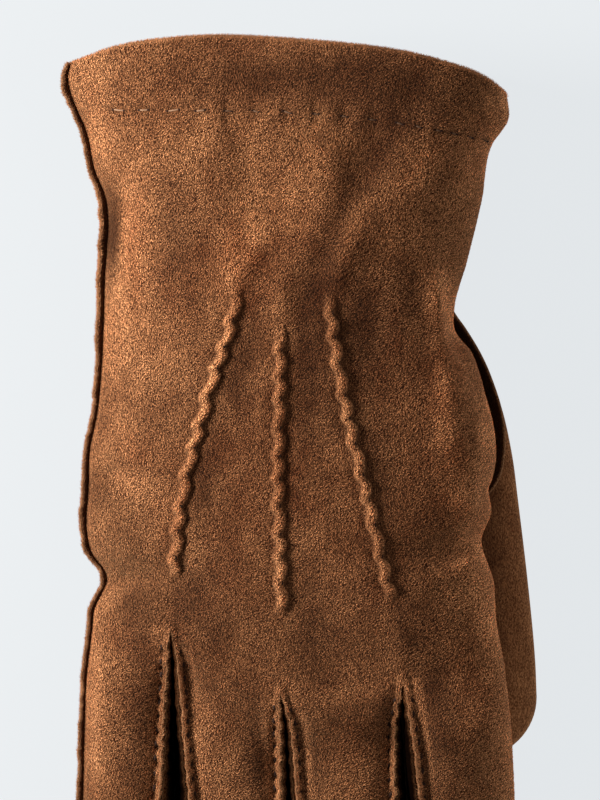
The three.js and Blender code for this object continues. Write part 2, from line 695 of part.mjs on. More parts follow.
const suede = new THREE.MeshStandardMaterial({ color: 0x8f5b35, roughness: 0.95, metalness: 0 });
const glove = new THREE.Group();

function addPiece(name, geometry) {
  geometry.computeVertexNormals();
  const mesh = new THREE.Mesh(geometry, suede.clone());
  mesh.name = name;
  glove.add(mesh);
}

const hole = solidOf(thumbHoleBody());
addPiece('trank', geometryFrom(solidOf(makeTrank()).subtract(hole)));
addPiece('thumb', geometryFrom(solidOf(thumbBody(0)).subtract(solidOf(thumbBody(leather))).subtract(hole)));
addPiece('fourchette_little_ring', makeFourchette(0));
addPiece('fourchette_ring_middle', makeFourchette(1));
addPiece('fourchette_middle_index', makeFourchette(2));

export default glove;
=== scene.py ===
# A suede dress glove, lying palm down and still a little full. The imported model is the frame, and each
# leather piece here is laid over its solids from the same tables, with finer folds, standing seams and the
# suede's nap.
# Sizes in the tables and settings are millimetres; every mesh is made in metres.
import math

import bpy
import numpy as np
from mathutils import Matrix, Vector
from mathutils.bvhtree import BVHTree


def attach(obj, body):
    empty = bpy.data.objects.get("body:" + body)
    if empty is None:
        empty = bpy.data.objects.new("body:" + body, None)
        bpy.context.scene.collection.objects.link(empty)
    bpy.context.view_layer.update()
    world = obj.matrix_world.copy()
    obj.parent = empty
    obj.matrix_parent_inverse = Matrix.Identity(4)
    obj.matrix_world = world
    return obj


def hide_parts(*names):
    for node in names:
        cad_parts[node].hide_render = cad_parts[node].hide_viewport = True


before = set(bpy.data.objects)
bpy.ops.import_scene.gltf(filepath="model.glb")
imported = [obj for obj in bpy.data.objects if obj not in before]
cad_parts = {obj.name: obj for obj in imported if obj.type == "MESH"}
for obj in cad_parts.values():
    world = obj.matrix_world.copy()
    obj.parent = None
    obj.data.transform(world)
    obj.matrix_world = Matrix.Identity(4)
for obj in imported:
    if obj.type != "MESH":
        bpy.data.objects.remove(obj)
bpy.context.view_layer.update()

millimetre = 0.001

# The pattern's tables, as in the part's source
solidLeather = 1.4
seamGap = 0.3
guideLines = {
    "x": [-57, -45, -32.3, -20, -5, 10, 25.8, 38, 47, 52],
    "cuff": [84.5, 88.4, 90.3, 91, 90.3, 89, 87, 83.8, 80.2, 76.5],
    "hem": [73, 73.2, 73, 72.8, 72.5, 71.5, 69.5, 67.3, 65.5, 64.3],
    "fork": [-54, -55.5, -57, -64, -72, -72, -69.5, -68, -66.8, -66],
}
# The outline's left side, at the seam's cut edges: how wide the seam shows there, and how pale its rim is
# painted where the rim is lit
seamSide = {
    "y": [85.5, 80.5, 76.5, 72.5, 67.5, 57.5, 50, 30, 10, -3, -13, -22, -32, -38, -44.3, -52, -61],
    "x": [-57.3, -59, -58.4, -56.7, -54.4, -52.3, -49.9, -50.3, -50.6, -51.6, -53.6, -54.1, -54.6, -53.2,
          -49.2, -52.2, -53.7],
    "width": [0.2, 0.9, 1.1, 0.9, 0.8, 0.9, 1.4, 1.4, 1.0, 0.8, 0.9, 1.1, 1.1, 0.9, 0.75, 0.75, 0.75],
    "pale": [0.3, 0.2, 0.15, 0.1, 0.1, 0.3, 0.9, 0.9, 0.35, 0.2, 0.2, 0.2, 0.2, 0.2, 0.2, 0.2, 0.2],
}
foldSide = {  # the outline's right side, where the leather folds round to the palm
    "y": [76, 70, 63.5, 50, 34, 23, 17, 12, 6.6, 1.35, -4, -9, -15, -20, -22, -28, -35, -45, -55, -66],
    "x": [51.7, 52, 47.8, 45.4, 41.5, 38.5, 38.8, 42.7, 44.8, 46.2, 47.7, 48.6, 48.8, 47.8, 47.0, 47.6, 45.2,
          48.2, 48.9, 51],
}
handHeights = {
    "y": [91, 72, 45, 24, 0, -25, -50, -75],
    "seam": [12.5, 12, 11, 10, 10, 10, 9, 8],
    "crest": [28, 31, 30.5, 30, 31.5, 31, 28.5, 24],
    "fold": [15, 15, 15, 16, 18, 18.5, 18, 17],
}
handShape = {"leftRound": 0.8, "rightRound": 0.5, "leftCurl": 0.16, "rightCurl": 0.17}
domePower = 2.8
thumbSlope = {"before": 14, "past": 3}
pointLines = {
    "y": [91, 60, 27, 0, -25, -48, -57, -72],
    "first": [-24, -17, -15.6, -23.4, -29.6, -31.8, -32.3, -32.6],
    "second": [-3, -3.6, -4.8, -5.2, -5.5, -4.8, -4.9, -5],
    "third": [17, 9.5, 7.2, 11, 16.8, 22.2, 24.5, 25.8],
}
lineNames = ["first", "second", "third"]
measureY = -78
fingers = [
    {"name": "little", "x": -43.8, "lean": -2.2, "reach": 41, "width": 21.8, "taper": 0.94, "edge": 8,
     "corner": 12.5, "crest": 18},
    {"name": "ring", "x": -17.4, "lean": 3, "reach": 70, "width": 26.2, "taper": 0.84, "edge": 0,
     "corner": 14.5, "crest": 20},
    {"name": "middle", "x": 10.7, "lean": 2, "reach": 80, "width": 27.8, "taper": 0.83, "edge": 0,
     "corner": 15, "crest": 21},
    {"name": "index", "x": 39.5, "lean": 4.6, "reach": 68, "width": 26, "taper": 0.86, "edge": 9,
     "corner": 13, "crest": 19},
]
fingerShape = {"seamRound": 0.75, "foldRound": 0.5, "cornerRound": 0.9, "outerCurl": 0.4, "cornerCurl": 0.15}
fingerEaseIn = 18
tipRound = 12
tipNarrow = 0.36
tipHeight = 7
tipCurve = {"square": 2.4, "corner": 0.96}
tipSeamStand = 0.4
fingerSlim = 0.88
indexLandsAt = 40
baseOffset = 2 * solidLeather + 2 * seamGap + 0.1  # how far in from a finger's side its back and palm reach
sideLayer = solidLeather + seamGap / 2 + 0.2  # half the height of the side seam's two layers
sideSeamLift = 0.7
handLength = 140.0  # about the length from the hem's stitching to the forks
thumbSections = {
    "y": [24, 14, 0, -13, -25, -45, -65, -74.5],
    "left": [27, 22, 20, 21, 23, 26.5, 28.6, 28.8],
    "right": [37.6, 43.8, 50, 53.1, 54.7, 57.1, 59, 59.4],
    "top": [3.2, 5.2, 7.4, 8.7, 9, 9, 9, 9],
}
thumbTip = {"y": -74.5, "round": 15.3, "blunt": 0.6}
thumbLiftFade = 34
thumbSquareness = 0.72
thumbHole = {"x": 33, "y": -3, "halfWidth": 10, "halfLength": 19}

# Soft ridges (rise above 0) and dents in the back: x, y, turn from +X in degrees, half length, half width
# and rise
backFolds = [
    (-39, 33, 92, 18, 4.5, 1.8), (-32, 43, 88, 16, 4, -1.4), (-45, 43, 90, 11, 2.8, -1.8),
    (-20, 64, 95, 9, 3.5, 1.2), (-14, 60, 100, 14, 5, -1.6), (22.5, 50.5, 49, 16, 4.2, 2.3),
    (29, 44, 50, 13, 4.5, -2), (14, 58, 50, 14, 6, -1.8), (9.5, 34, 78, 9, 3.2, 1.5),
    (34.5, 22, 97, 10, 3, 2.2), (40, 13, 110, 9, 3.4, -2.6), (37.5, 1, 92, 11, 3.4, 1.6),
    (-47, -19, -12, 8, 2.6, -1.8), (-47, -44.5, 8, 9, 3, -1.6), (43, -35, 15, 10, 3.2, -1.8),
]
fineFolds = [
    # at the left, a bulge beside the seam
    (-39, 33, 92, 18, 4.5, -1.5), (-32, 43, 88, 16, 4, 1.3), (-44, 34, 92, 20, 5.5, 1.0),
    (-47.4, 41, 92, 11, 1.8, -0.7), (-50, 62, 95, 8, 2.0, 0.5), (-20, 64, 95, 9, 3.5, -0.6),
    (-14, 60, 100, 14, 5, 1.0), (-13, 33, 60, 8, 2.5, 0.5),
    # the curved fold that runs down to the third point, and the swell before it
    (22.5, 50.5, 49, 16, 4.2, -2.3), (24, 49, 45, 15, 8.0, 0.8), (12.3, 38.5, 72, 9, 3.6, 0.75),
    (9.5, 34, 78, 9, 3.2, -0.7), (5, 46, 66, 18, 5, 1.3), (13.5, 48, 60, 13, 3, -0.6),
    (29, 44, 50, 13, 4.5, 2.0), (14, 58, 50, 14, 6, 0.4), (-16.2, 33, 97, 8, 3.4, 0.7),
    (-4.6, 25, 90, 6, 2.6, 0.5),
    # soft swells that carry the three points
    (-20.6, 10, 74, 16, 6, 1.1), (-4.5, 12, 90, 16, 7, 1.4), (8.5, 12, 98, 12, 6.5, 1.1),
    # at the right
    (35.4, 20, 97, 9, 1.5, 1.1), (43, 8, 88, 16, 4.5, 1.2), (44.8, -22, 94, 18, 5, 1.3),
    (42, -38, 20, 5, 1.2, -0.8), (41, -42, 20, 8, 2.4, 0.7), (43, -27, -30, 6, 1.8, 0.6),
    # over the forks and the little finger
    (-46.5, -46, 12, 5, 1.2, -0.9), (-45, -50, 10, 7, 2.2, 0.8), (-47, -12, -20, 6, 2.0, 0.7),
    (-31, -50, 80, 7, 3.0, -0.5), (25, -62, 90, 6, 3.0, 0.4), (-5, -66, 90, 6, 3.0, 0.4),
    (-30, 10, 70, 12, 5, 0.4), (-22, -20, 80, 14, 4, -0.5),
]
# Painted light (share above 0) and painted shade laid over the back in soft patches: x, y, turn, half length,
# half width, share
paintedLightShadePatches = [
    # the cuff: painted light at its left, painted shade over the hem's double leather
    (-50.5, 70, 97, 17, 4, 0.7), (-38, 60, 90, 13, 13, 0.15), (10, 79, -4, 28, 7, -0.8),
    (-19.5, 79, 5, 12, 5, -0.5), (49, 70, 75, 12, 4, 0.8), (43, 60, 80, 10, 4, 0.6),
    # beside the side seam
    (-42.5, 33, 92, 19, 5.2, 0.7), (-41, 41, 90, 9, 3.5, 0.5), (-46.6, 42, 88, 10, 1.9, -1.7),
    (-31, 42, 90, 12, 5, -0.7), (-47, 16, 90, 11, 3, 0.5), (-41.5, -13, 90, 7, 4, 0.4),
    (-49.5, -23, 90, 5, 4, -0.7), (-44, -33, 75, 9, 6, -0.6), (-40.5, -50, 95, 12, 5, -0.7),
    (-52, -75, 92, 27, 2.6, 0.6), (-41, -82, 88, 22, 4, -0.65), (-28, -50, 60, 9, 4.5, -1),
    (-21, -57, 50, 8, 4, -0.6), (-36, -5, 90, 8, 5, -0.4),
    # the curved fold: painted light on its crest and painted shade on its dark side, down into the hollow
    # between the points
    (32.5, 60, 50, 9, 3.2, 0.6), (24, 53, 40, 8, 2.6, 0.5), (12.8, 41, 72, 7, 2.4, 0.7),
    (20, 61, 50, 14, 4, -0.6), (8, 37, 75, 9, 3, -0.8), (2.5, 18, 88, 14, 4.5, -1.1),
    (8.5, -6, 100, 5, 2.5, -0.6), (2.5, -6, 90, 16, 3.5, -0.5), (2.5, -52, 90, 16, 4, -0.6),
    # painted light on the swells that run down to the first two points
    (-3, 49, 60, 13, 7, 0.45), (-14.5, 35, 75, 9, 5, 0.8),
    # painted shade right of the first and third points
    (-15, 8, 78, 12, 4, -1.0), (-24.5, -22, 78, 10, 3, -0.7), (16.5, 19, 95, 11, 4.5, -0.8),
    (27, 29, 90, 8, 5, -0.6), (18, -13, 100, 14, 3.5, -0.5), (10, -1, 110, 6, 3, -0.4),
    (30, -41, 100, 9, 4, -0.4), (26, -57, 90, 8, 5, -0.4),
    # the hand's folded side and the fingers
    (35.6, 24, 97, 8, 1.8, 1.0), (37, 8, 92, 24, 4.5, 0.5), (46.5, -6, 90, 16, 2.6, 0.9),
    (43, -40, 97, 22, 5, 0.8), (51, -88, 90, 18, 4, 0.6), (33, -79, 88, 14, 5, -1.3),
    (-11, -88, 92, 14, 4.5, -0.8), (2.5, -92, 90, 14, 4, -0.7), (-25.5, -92, 90, 12, 2.5, 0.4),
    # broad soft painted shade and light over the back
    (17.5, 76, 0, 20, 14, -0.5), (18, 51, 45, 11, 6, -0.55), (11, 17.5, 90, 13, 9, -0.45),
    (-25, 5, 78, 15, 6, -0.4), (-22, -23, 80, 8, 4, -0.4), (-32, -48, 0, 10, 7, -0.35),
    (5, -60, 0, 20, 11, -0.45), (-2.5, -91, 90, 11, 8, -0.4), (21, -22, 100, 13, 5, -0.4),
    (27, -60, 90, 12, 6, -0.25), (39, 9, 100, 9, 4, 0.8), (36.5, 22, 97, 12, 3, 0.4),
    (36, -14, 95, 14, 5, 0.3),
    (47, -52, 92, 19, 3.5, 0.9), (-17, 36, 78, 10, 5, 0.4), (2.5, -24, 90, 6, 3, 0.3),
    (-33, -30, 80, 7, 5, 0.25), (21, -83, 90, 7, 3, 0.5), (-42, 52, 90, 8, 4, 0.3),
]


def mix(a, b, t):
    return a + (b - a) * t


def clamp(value, low=0.0, high=1.0):
    return np.clip(value, low, high)


def ease(t):
    t = clamp(t)
    return t * t * (3 - 2 * t)


def quarterRound(t):
    return np.sqrt(1 - (1 - clamp(t)) ** 2)


# How far a fork's two seams have parted: a narrow V with a small round at its top
def partAt(t):
    t = clamp(t)
    return 0.2 * quarterRound(t * 6) + 0.8 * (0.35 * t + 0.65 * t * t)


# The value of one column of a table at places along its key column, as one smooth curve through the rows
def lookUp(rows, key, column, at):
    keys = np.asarray(rows[key], float)
    values = np.asarray(rows[column], float)
    if keys[-1] < keys[0]:
        keys, values = keys[::-1], values[::-1]
    rise = np.diff(values) / np.diff(keys)
    slope = np.concatenate([rise[:1], (rise[1:] + rise[:-1]) / 2, rise[-1:]])
    at = np.clip(at, keys[0], keys[-1])
    i = np.clip(np.searchsorted(keys, at, side="right") - 1, 0, len(keys) - 2)
    span = keys[i + 1] - keys[i]
    t = (at - keys[i]) / span
    start = values[i] * (1 + 2 * t) * (1 - t) ** 2 + values[i + 1] * t * t * (3 - 2 * t)
    return start + span * (slope[i] * t * (1 - t) ** 2 - slope[i + 1] * t * t * (1 - t))


# Smooth random waves over x and y, about -1 to 1, with bumps about `size` apart
def softWaves(x, y, size, seed):
    cells = np.random.default_rng(seed).uniform(-1, 1, (64, 64))
    u, v = x / size + 1000, y / size + 1000
    i, j = np.floor(u).astype(int), np.floor(v).astype(int)
    s, t = u - i, v - j
    s, t = s * s * (3 - 2 * s), t * t * (3 - 2 * t)
    a, b = cells[i % 64, j % 64], cells[(i + 1) % 64, j % 64]
    c, d = cells[i % 64, (j + 1) % 64], cells[(i + 1) % 64, (j + 1) % 64]
    return mix(mix(a, b, s), mix(c, d, s), t)


def outlineX(y):
    return lookUp(seamSide, "y", "x", y)


def stripWidth(y):
    return lookUp(seamSide, "y", "width", y)


# A section across the hand or a finger, from its left end (share 0) to its right end (share 1)
def dome(share, leftRound, rightRound):
    inside = 1 - np.abs(2 * clamp(share) - 1) ** domePower
    return clamp(inside) ** mix(leftRound, rightRound, clamp(share))


def topOf(section, share):
    ends = mix(section["leftTop"], section["rightTop"], clamp(share))
    middle = (section["leftTop"] + section["rightTop"]) / 2
    return ends + (section["crest"] - middle) * dome(share, section["leftRound"], section["rightRound"])


def underOf(section, share):
    floor = section["floor"](share)
    left = clamp(1 - (share - section["leftInset"]) / section["leftCurl"]) ** 2
    turn = clamp((share - 1 + section["rightInset"]) / section["rightCurl"] + 1)
    right = 1 - np.sqrt(1 - turn ** 2)
    return floor + (section["leftUnder"] - floor) * left + (section["rightUnder"] - floor) * right


def thumbTable(column, y):
    return lookUp(thumbSections, "y", column, clamp(y, thumbTip["y"], thumbSections["y"][0]))


# How far the thumb lifts the palm that lies on it
def thumbLift(y):
    fade = 1 - ease((y - thumbSections["y"][0]) / thumbLiftFade)
    return (thumbTable("top", y) + seamGap + 0.05) * fade


def handSection(y):
    left = outlineX(y) + stripWidth(y)
    width = lookUp(foldSide, "y", "x", y) - left
    seam, fold = lookUp(handHeights, "y", "seam", y), lookUp(handHeights, "y", "fold", y)
    lift, thumbLeft = thumbLift(y), thumbTable("left", y)
    slope = thumbSlope["before"] + thumbSlope["past"]
    return {
        "left": left, "width": width, "leftTop": seam + sideLayer, "leftUnder": seam - sideLayer,
        "rightTop": fold, "rightUnder": fold, "crest": lookUp(handHeights, "y", "crest", y), **handShape,
        "leftInset": 0, "rightInset": 0,
        "floor": lambda share: lift * ease((left + width * share - thumbLeft + thumbSlope["before"]) / slope),
    }


def foldsAt(x, y, folds):
    total = 0
    for foldX, foldY, turn, length, width, rise in folds:
        turned = math.radians(turn)
        along = (x - foldX) * math.cos(turned) + (y - foldY) * math.sin(turned)
        across = (y - foldY) * math.cos(turned) - (x - foldX) * math.sin(turned)
        total = total + rise * np.exp(-((along / length) ** 2) - (across / width) ** 2)
    return total


trankSettings = {
    "leather": 1.1,
    "hemThickness": 2.7,
    "hemPast": 1.4,  # how far past its line of stitches the hem is double
    "pointStand": 1.15,  # height of the three sewn ridges
    # where a ridge starts and ends, its scallops' length, where the first falls, their swing, and how pale
    # its top is painted (painted highlight)
    "points": [
        {"start": 29.5, "end": -45.0, "pitch": 6.6, "phase": 0.25, "swing": 0.64, "pale": 1.0},
        {"start": 20.5, "end": -54.0, "pitch": 6.5, "phase": 0.55, "swing": 0.56, "pale": 0.8},
        {"start": 28.0, "end": -50.5, "pitch": 6.9, "phase": 0.9, "swing": 0.6, "pale": 0.7},
    ],
    "pointFade": {"start": 9, "end": 3.5},
    "seamStand": 0.8,  # how far the cut edges stand above a finger seam
    "palmSeamStand": 1.0,
    "seamLean": 0.3,  # how far a finger seam's top leans away from the gap
    "forkStand": 0.45,  # share of that height at a fork
    "forkGrow": 9.0,
    "archLength": 17.0,  # the length over which a fork's two seams part
    "stitchPitch": 4.0,
    "stripLengths": (18, 18, 17),  # about how wide the hand is above each of the first three fingers
    "backStep": 1.45,
    "palmStep": 6.0,
    "foldColumns": {"top": 15, "topShare": 0.82, "round": 10, "under": 9},
    "rowStep": 1.0,
    "pointRowStep": 0.64,
    "waves": [(14, 0.35), (7, 0.16), (3.4, 0.05)],  # size and rise of the leather's soft unevenness
    "hemStitch": {"below": 0.95, "groove": 0.5, "grooveHalf": 0.8, "dentHalf": 1.5,
                  "pucker": 0.4, "puckerAway": 1.9, "puckerHalf": 1.4,
                  "paintedShadow": 0.7, "paintedShadowHalf": (0.7, 0.75), "paintedShadowOut": 0.3},
}

# Columns beside a sewn ridge: distance from its line and rise on the hand, then distance from the finger's
# side and rise beyond the fork, and the same for the leather's inner face
profile = {
    "back": {
        "hand": [0, 0.52, 0.95, 1.2, 1.42, 1.8, 2.6, 4.1],
        "handRise": [1, 0.94, 0.72, 0.38, 0.0, -0.16, -0.08, 0],
        "finger": [1.2, 1.4, 1.66, 1.92, 2.25, 2.7, 3.4, 4.5],
        "fingerRise": [0.95, 0.88, 0.66, 0.34, 0.0, -0.14, -0.06, 0],
        "inner": [0.56, 0.54, 0.54, 0.56, 0.95, 1.75, 2.75, 4.3],
        "innerRise": [0.95, 0.62, 0.28, 0.0, -0.35, -0.55, -0.56, -0.55],
    },
    "palm": {
        "hand": [0, 1.3, 2.6, 4.1],
        "handRise": [1, 0.3, 0, 0],
        "finger": [1.2, 1.6, 2.2, 4.4],
        "fingerRise": [0.95, 0.6, 0.03, 0],
        "inner": [0.56, 0.56, 0.8, 4.2],
        "innerRise": [0.95, 0.4, -1.0, -1.1],
    },
}
# Columns of the side seam: shares of the seam's width, then distances past it. The seam's rim turns up and a
# groove lies behind it; dark is how deep the painted shade of the seam is there.
seamColumns = {
    "back": {"strip": [0, 0.16, 0.32, 0.5, 0.68, 0.86], "stripLift": [0.3, 0.5, 0.48, 0.2, -0.2, -0.4],
             "stripDark": [0.45, 0.5, 0.85, 1, 1, 1],
             "past": [0.0, 0.25, 0.55, 1.0, 1.9], "pastLift": [-0.5, -0.3, -0.05, 0, 0],
             "pastDark": [0.9, 0.35, 0, 0, 0]},
    "palm": {"strip": [0, 0.5], "stripLift": [0, 0], "stripDark": [0, 0.4],
             "past": [0.0, 0.9, 2.4], "pastLift": [0, 0, 0], "pastDark": [0.6, 0.2, 0]},
}


def shareCount(length, step):
    return max(int(round(length / step)), 1)


# The trank's columns in order round the hand, from the side seam across the back and the fold to the palm
def trankColumns():
    settings = trankSettings

    def seam(face):
        table = seamColumns[face]
        rows = [{"kind": "seam", "strip": part, "past": None, "lift": lift, "dark": dark}
                for part, lift, dark in zip(table["strip"], table["stripLift"], table["stripDark"])]
        rows += [{"kind": "seam", "strip": 1, "past": part, "lift": lift, "dark": dark}
                 for part, lift, dark in zip(table["past"], table["pastLift"], table["pastDark"])]
        return [{"face": face, "finger": 0, **row} for row in rows]

    def beside(face, finger, number, side):
        count = len(profile[face]["hand"])
        return [{"face": face, "finger": finger, "kind": "profile", "fork": number, "side": side, "place": k}
                for k in range(1, count)]

    def inner(face, finger, count):
        return [{"face": face, "finger": finger, "kind": "inner", "part": (k + 1) / (count + 1)}
                for k in range(count)]

    def line(face, number):
        return [{"face": face, "finger": number, "kind": "profile", "fork": number, "side": 1, "place": 0}]

    def strip(face, finger, count):
        start = seam(face) if finger == 0 else beside(face, finger, finger - 1, -1)
        return start + inner(face, finger, count) + beside(face, finger, finger, 1)[::-1]

    backCounts = [shareCount(length, settings["backStep"]) for length in settings["stripLengths"]]
    palmCounts = [shareCount(length, settings["palmStep"]) for length in settings["stripLengths"]]
    columns = []
    for finger in range(3):
        columns += strip("back", finger, backCounts[finger]) + line("back", finger)
    columns += beside("back", 3, 2, -1)
    fold = settings["foldColumns"]
    topTurns = list(np.arcsin(np.linspace(0, fold["topShare"], fold["top"])[1:]))
    topTurns += list(np.linspace(math.asin(fold["topShare"]), math.pi / 2, fold["round"])[1:])
    columns += [{"face": "back", "finger": 3, "kind": "foldTop", "turn": turn} for turn in topTurns]
    underTurns = np.linspace(0, math.pi / 2, fold["under"])[1:]
    columns += [{"face": "palm", "finger": 3, "kind": "foldUnder", "turn": turn} for turn in underTurns]
    columns += [{"face": "palm", "finger": 3, "kind": "foldPalm", "part": part} for part in (0.75, 0.5, 0.25)]
    columns += beside("palm", 3, 2, -1)[::-1]
    for finger in (2, 1, 0):
        columns += line("palm", finger) + strip("palm", finger, palmCounts[finger])[::-1]
    return columns


def shareOf(column, start, end, curl):
    if column["kind"] == "inner":
        return mix(start, end, column["part"])
    if column["kind"] == "foldTop":
        return mix(start, 1, math.sin(column["turn"]))
    if column["kind"] == "foldUnder":
        return 1 - curl * (1 - math.cos(column["turn"]))
    return mix(start, 1 - curl, column["part"])


def lineX(number, y):
    return lookUp(pointLines, "y", lineNames[number], y)


# The small unevenness of the side seam's rim
def seamWander(column, y):
    if column["face"] != "back" or column["past"] is not None:
        return 0 * y
    wander = 0.26 * softWaves(y, 0 * y, 2.6, 31) + 0.2 * softWaves(y, 0 * y, 1.3, 32)
    return wander * (1 - column["strip"])


def handX(column, y, section):
    left, width = section["left"], section["width"]
    if column["kind"] == "seam":
        strip = stripWidth(y)
        return left - strip * (1 - column["strip"]) + (column["past"] or 0) + seamWander(column, y)
    if column["kind"] == "profile":
        return lineX(column["fork"], y) - column["side"] * profile[column["face"]]["hand"][column["place"]]
    number, inset = column["finger"], profile["back"]["hand"][-1]
    firstInset = seamColumns[column["face"]]["past"][-1]
    start = firstInset / width if number == 0 else (lineX(number - 1, y) + inset - left) / width
    end = 1 if number == 3 else (lineX(number, y) - inset - left) / width
    return left + width * shareOf(column, start, end, section["rightCurl"])


# Rows cross the hand at a share of the way from one guide line to the next
def handRows():
    step = trankSettings["rowStep"]
    hemShares = [0.062, 0.085, 0.12, 0.16]
    hemShares += list(np.linspace(0.22, 0.82, 9)) + list(np.linspace(0.87, 1.0, 4))
    past = list(np.array([0.55, 1.1, 1.7, 2.4, 3.2]) / handLength)
    before = list(1 - np.array([3.1, 2.4, 1.8, 1.35, 1.0, 0.7, 0.45, 0.22, 0]) / handLength)
    ends = [past[-1], 0.29, 0.915, before[0]]
    between = []
    for k, size in enumerate((step, trankSettings["pointRowStep"], step)):
        count = int((ends[k + 1] - ends[k]) * handLength / size)
        between += list(np.linspace(ends[k], ends[k + 1], count + 1)[1:])
    between = between[:-1]
    shares = hemShares + past + between + before
    return np.array([True] * len(hemShares) + [False] * (len(shares) - len(hemShares))), np.array(shares)


def settle(column, cuffRows, shares):
    y = np.zeros(len(shares))
    for _ in range(5):
        section = handSection(y)
        x = handX(column, y, section)
        cuff, hem, fork = (lookUp(guideLines, "x", name, x) for name in ("cuff", "hem", "fork"))
        y = np.where(cuffRows, mix(cuff, hem, shares), mix(hem, fork, shares))
    section = handSection(y)
    return handX(column, y, section), y, section


# How much of a point's ridge stands at a place along it, and how far it swings to the side there
def ridgeAt(number, y):
    point, fade = trankSettings["points"][number], trankSettings["pointFade"]
    return ease((point["start"] - y) / fade["start"]) * ease((y - point["end"]) / fade["end"])


def ridgeTurn(number, y):
    point = trankSettings["points"][number]
    slope = lineX(number, y + 0.5) - lineX(number, y - 0.5)
    stretch = np.sqrt(1 + slope ** 2)
    uneven = 0.1 * np.sin(y * 0.31 + number * 2.1)
    return 2 * math.pi * ((point["start"] - y) * stretch / point["pitch"] + point["phase"] + uneven)


def ridgeSwing(number, y):
    turn = ridgeTurn(number, y)
    point = trankSettings["points"][number]
    return point["swing"] * (np.sin(turn) + 0.22 * np.sin(2 * turn + 0.8)) * ridgeAt(number, y)


# How much of a ridge's swing each column beside it follows
swingShare = {"back": [1, 1, 1, 0.97, 0.9, 0.6, 0.2, 0], "palm": [0, 0, 0, 0]}


def riseAt(distance):
    return np.interp(distance, profile["back"]["hand"], profile["back"]["handRise"])


def seamZ(column, section, x, y):
    middle = (section["leftTop"] + section["leftUnder"]) / 2
    way = 1 if column["face"] == "back" else -1
    flange = middle + way * (seamGap / 2 + trankSettings["leather"])
    lift = way * column["lift"] * (sideSeamLift + 0.3 * clamp(stripWidth(y) - 1))
    if column["past"] is None:
        return flange + lift, middle + way * seamGap / 2
    share = (x - section["left"]) / section["width"]
    surface = topOf(section, share) if way > 0 else underOf(section, share)
    return mix(flange, surface, clamp(column["past"])) + lift, None


# The leather's soft unevenness, added to heights. Beside a seam it grows with the column's place.
def withWaves(height, x, y, share, place=1, places=1):
    for seed, (size, rise) in enumerate(trankSettings["waves"]):
        height = height + softWaves(x, y, size, seed) * rise * place / places * share
    return height


# 1 at the stitch hole in the middle of each turn, falling to 0 between
def stitchHole(turns, width):
    return np.exp(-(np.abs(turns % 1 - 0.5) / width) ** 2)


# The seams between the fingers already stand a little at the forks
def forkRelief(x, y):
    total = 0
    stand = trankSettings["seamStand"] * trankSettings["forkStand"]
    for number in range(3):
        forkY = lookUp(guideLines, "x", "fork", lineX(number, y))
        away = np.hypot(x - lineX(number, y), np.maximum(y - forkY, 0))
        total = total + stand * riseAt(away) * (away < profile["back"]["hand"][-1])
    return total


# A column of the hand: its smooth places, the same with ridges and folds, and its inner face if it is given
def handColumn(column, cuffRows, shares):
    x, y, section = settle(column, cuffRows, shares)
    back = column["face"] == "back"
    share = (x - section["left"]) / section["width"]
    given = None
    if column["kind"] == "seam":
        flat, givenZ = seamZ(column, section, x, y)
        if givenZ is not None:
            given = np.stack([x, y, givenZ], 1)
    else:
        flat = topOf(section, share) if back else underOf(section, share)
    shownX, shown = x, flat
    if back:
        outlineFade = ease(share / 0.06)
        fineFade = outlineFade * ease((1 - share) / 0.05)
        flat = flat + foldsAt(x, y, backFolds) * outlineFade
        shown = withWaves(flat + foldsAt(x, y, fineFolds) * fineFade, x, y, fineFade)
        shown = shown + hemRelief(x, y) * fineFade
        shown = shown + forkRelief(x, y)
    if back and column["kind"] == "profile":
        number, place = column["fork"], column["place"]
        turn, ridge = ridgeTurn(number, y), ridgeAt(number, y)
        pinch = 1 + 0.05 * np.cos(turn + 0.6) * (place < 4)
        shown = shown + ridge * trankSettings["pointStand"] * profile["back"]["handRise"][place] * pinch
        side = -column["side"] if place else 0
        hole = stitchHole(turn / (2 * math.pi) + 0.25 * side, 0.14)
        shown = shown - 0.25 * hole * ridge * (place in (4, 5)) * abs(side)
        shownX = x + ridgeSwing(number, y) * swingShare["back"][place]
    return np.stack([x, y, flat], 1), np.stack([shownX, y, shown], 1), given


# The hem's stitches: where each lies, its length, its tone and how it tilts. The tone is painted light and
# shade: pale where a stitch is lit, darker where it is sunk in shade.
hemStitches = {
    "x": [-45.2, -38.9, -31.5, -24.8, -17.9, -11, -3.1, 4, 11, 17.9, 24.7, 29.4, 34.3, 38.3, 42.4, 46.2],
    "length": [2.6, 2.2, 2.8, 2.2, 1.7, 1.5, 2.0, 1.4, 1.4, 1.5, 1.5, 1.4, 1.3, 1.2, 1.1, 1.0],
    "tone": [1, 0.95, 1, 0.9, 0.35, 0.45, 0.5, 0.3, 0.35, 0.3, 0.3, 0.4, 0.3, 0.3, 0.25, 0.2],
    "tilt": [-0.12, 0.02, 0.14, 0.1, -0.1, -0.25, -0.3, -0.1,
             -0.2, -0.1, -0.3, -0.35, -0.2, -0.3, -0.4, -0.5],
}


def hemLine(x):
    return lookUp(guideLines, "x", "hem", x) - trankSettings["hemStitch"]["below"]


# The hem's stitch groove, with a dent at each stitch and small puckers between
def hemRelief(x, y):
    hem = trankSettings["hemStitch"]
    across = y - hemLine(x)
    away = np.min(np.abs(np.asarray(x)[..., None] - np.array(hemStitches["x"])), axis=-1)
    dent = np.exp(-((away / hem["dentHalf"]) ** 2))
    groove = -hem["groove"] * np.exp(-((across / hem["grooveHalf"]) ** 2)) * (0.35 + dent)
    beside = np.exp(-(((np.abs(across) - hem["puckerAway"]) / hem["puckerHalf"]) ** 2))
    return groove + hem["pucker"] * beside * (0.45 - dent) * (1 + 0.4 * np.sin(x * 0.9))
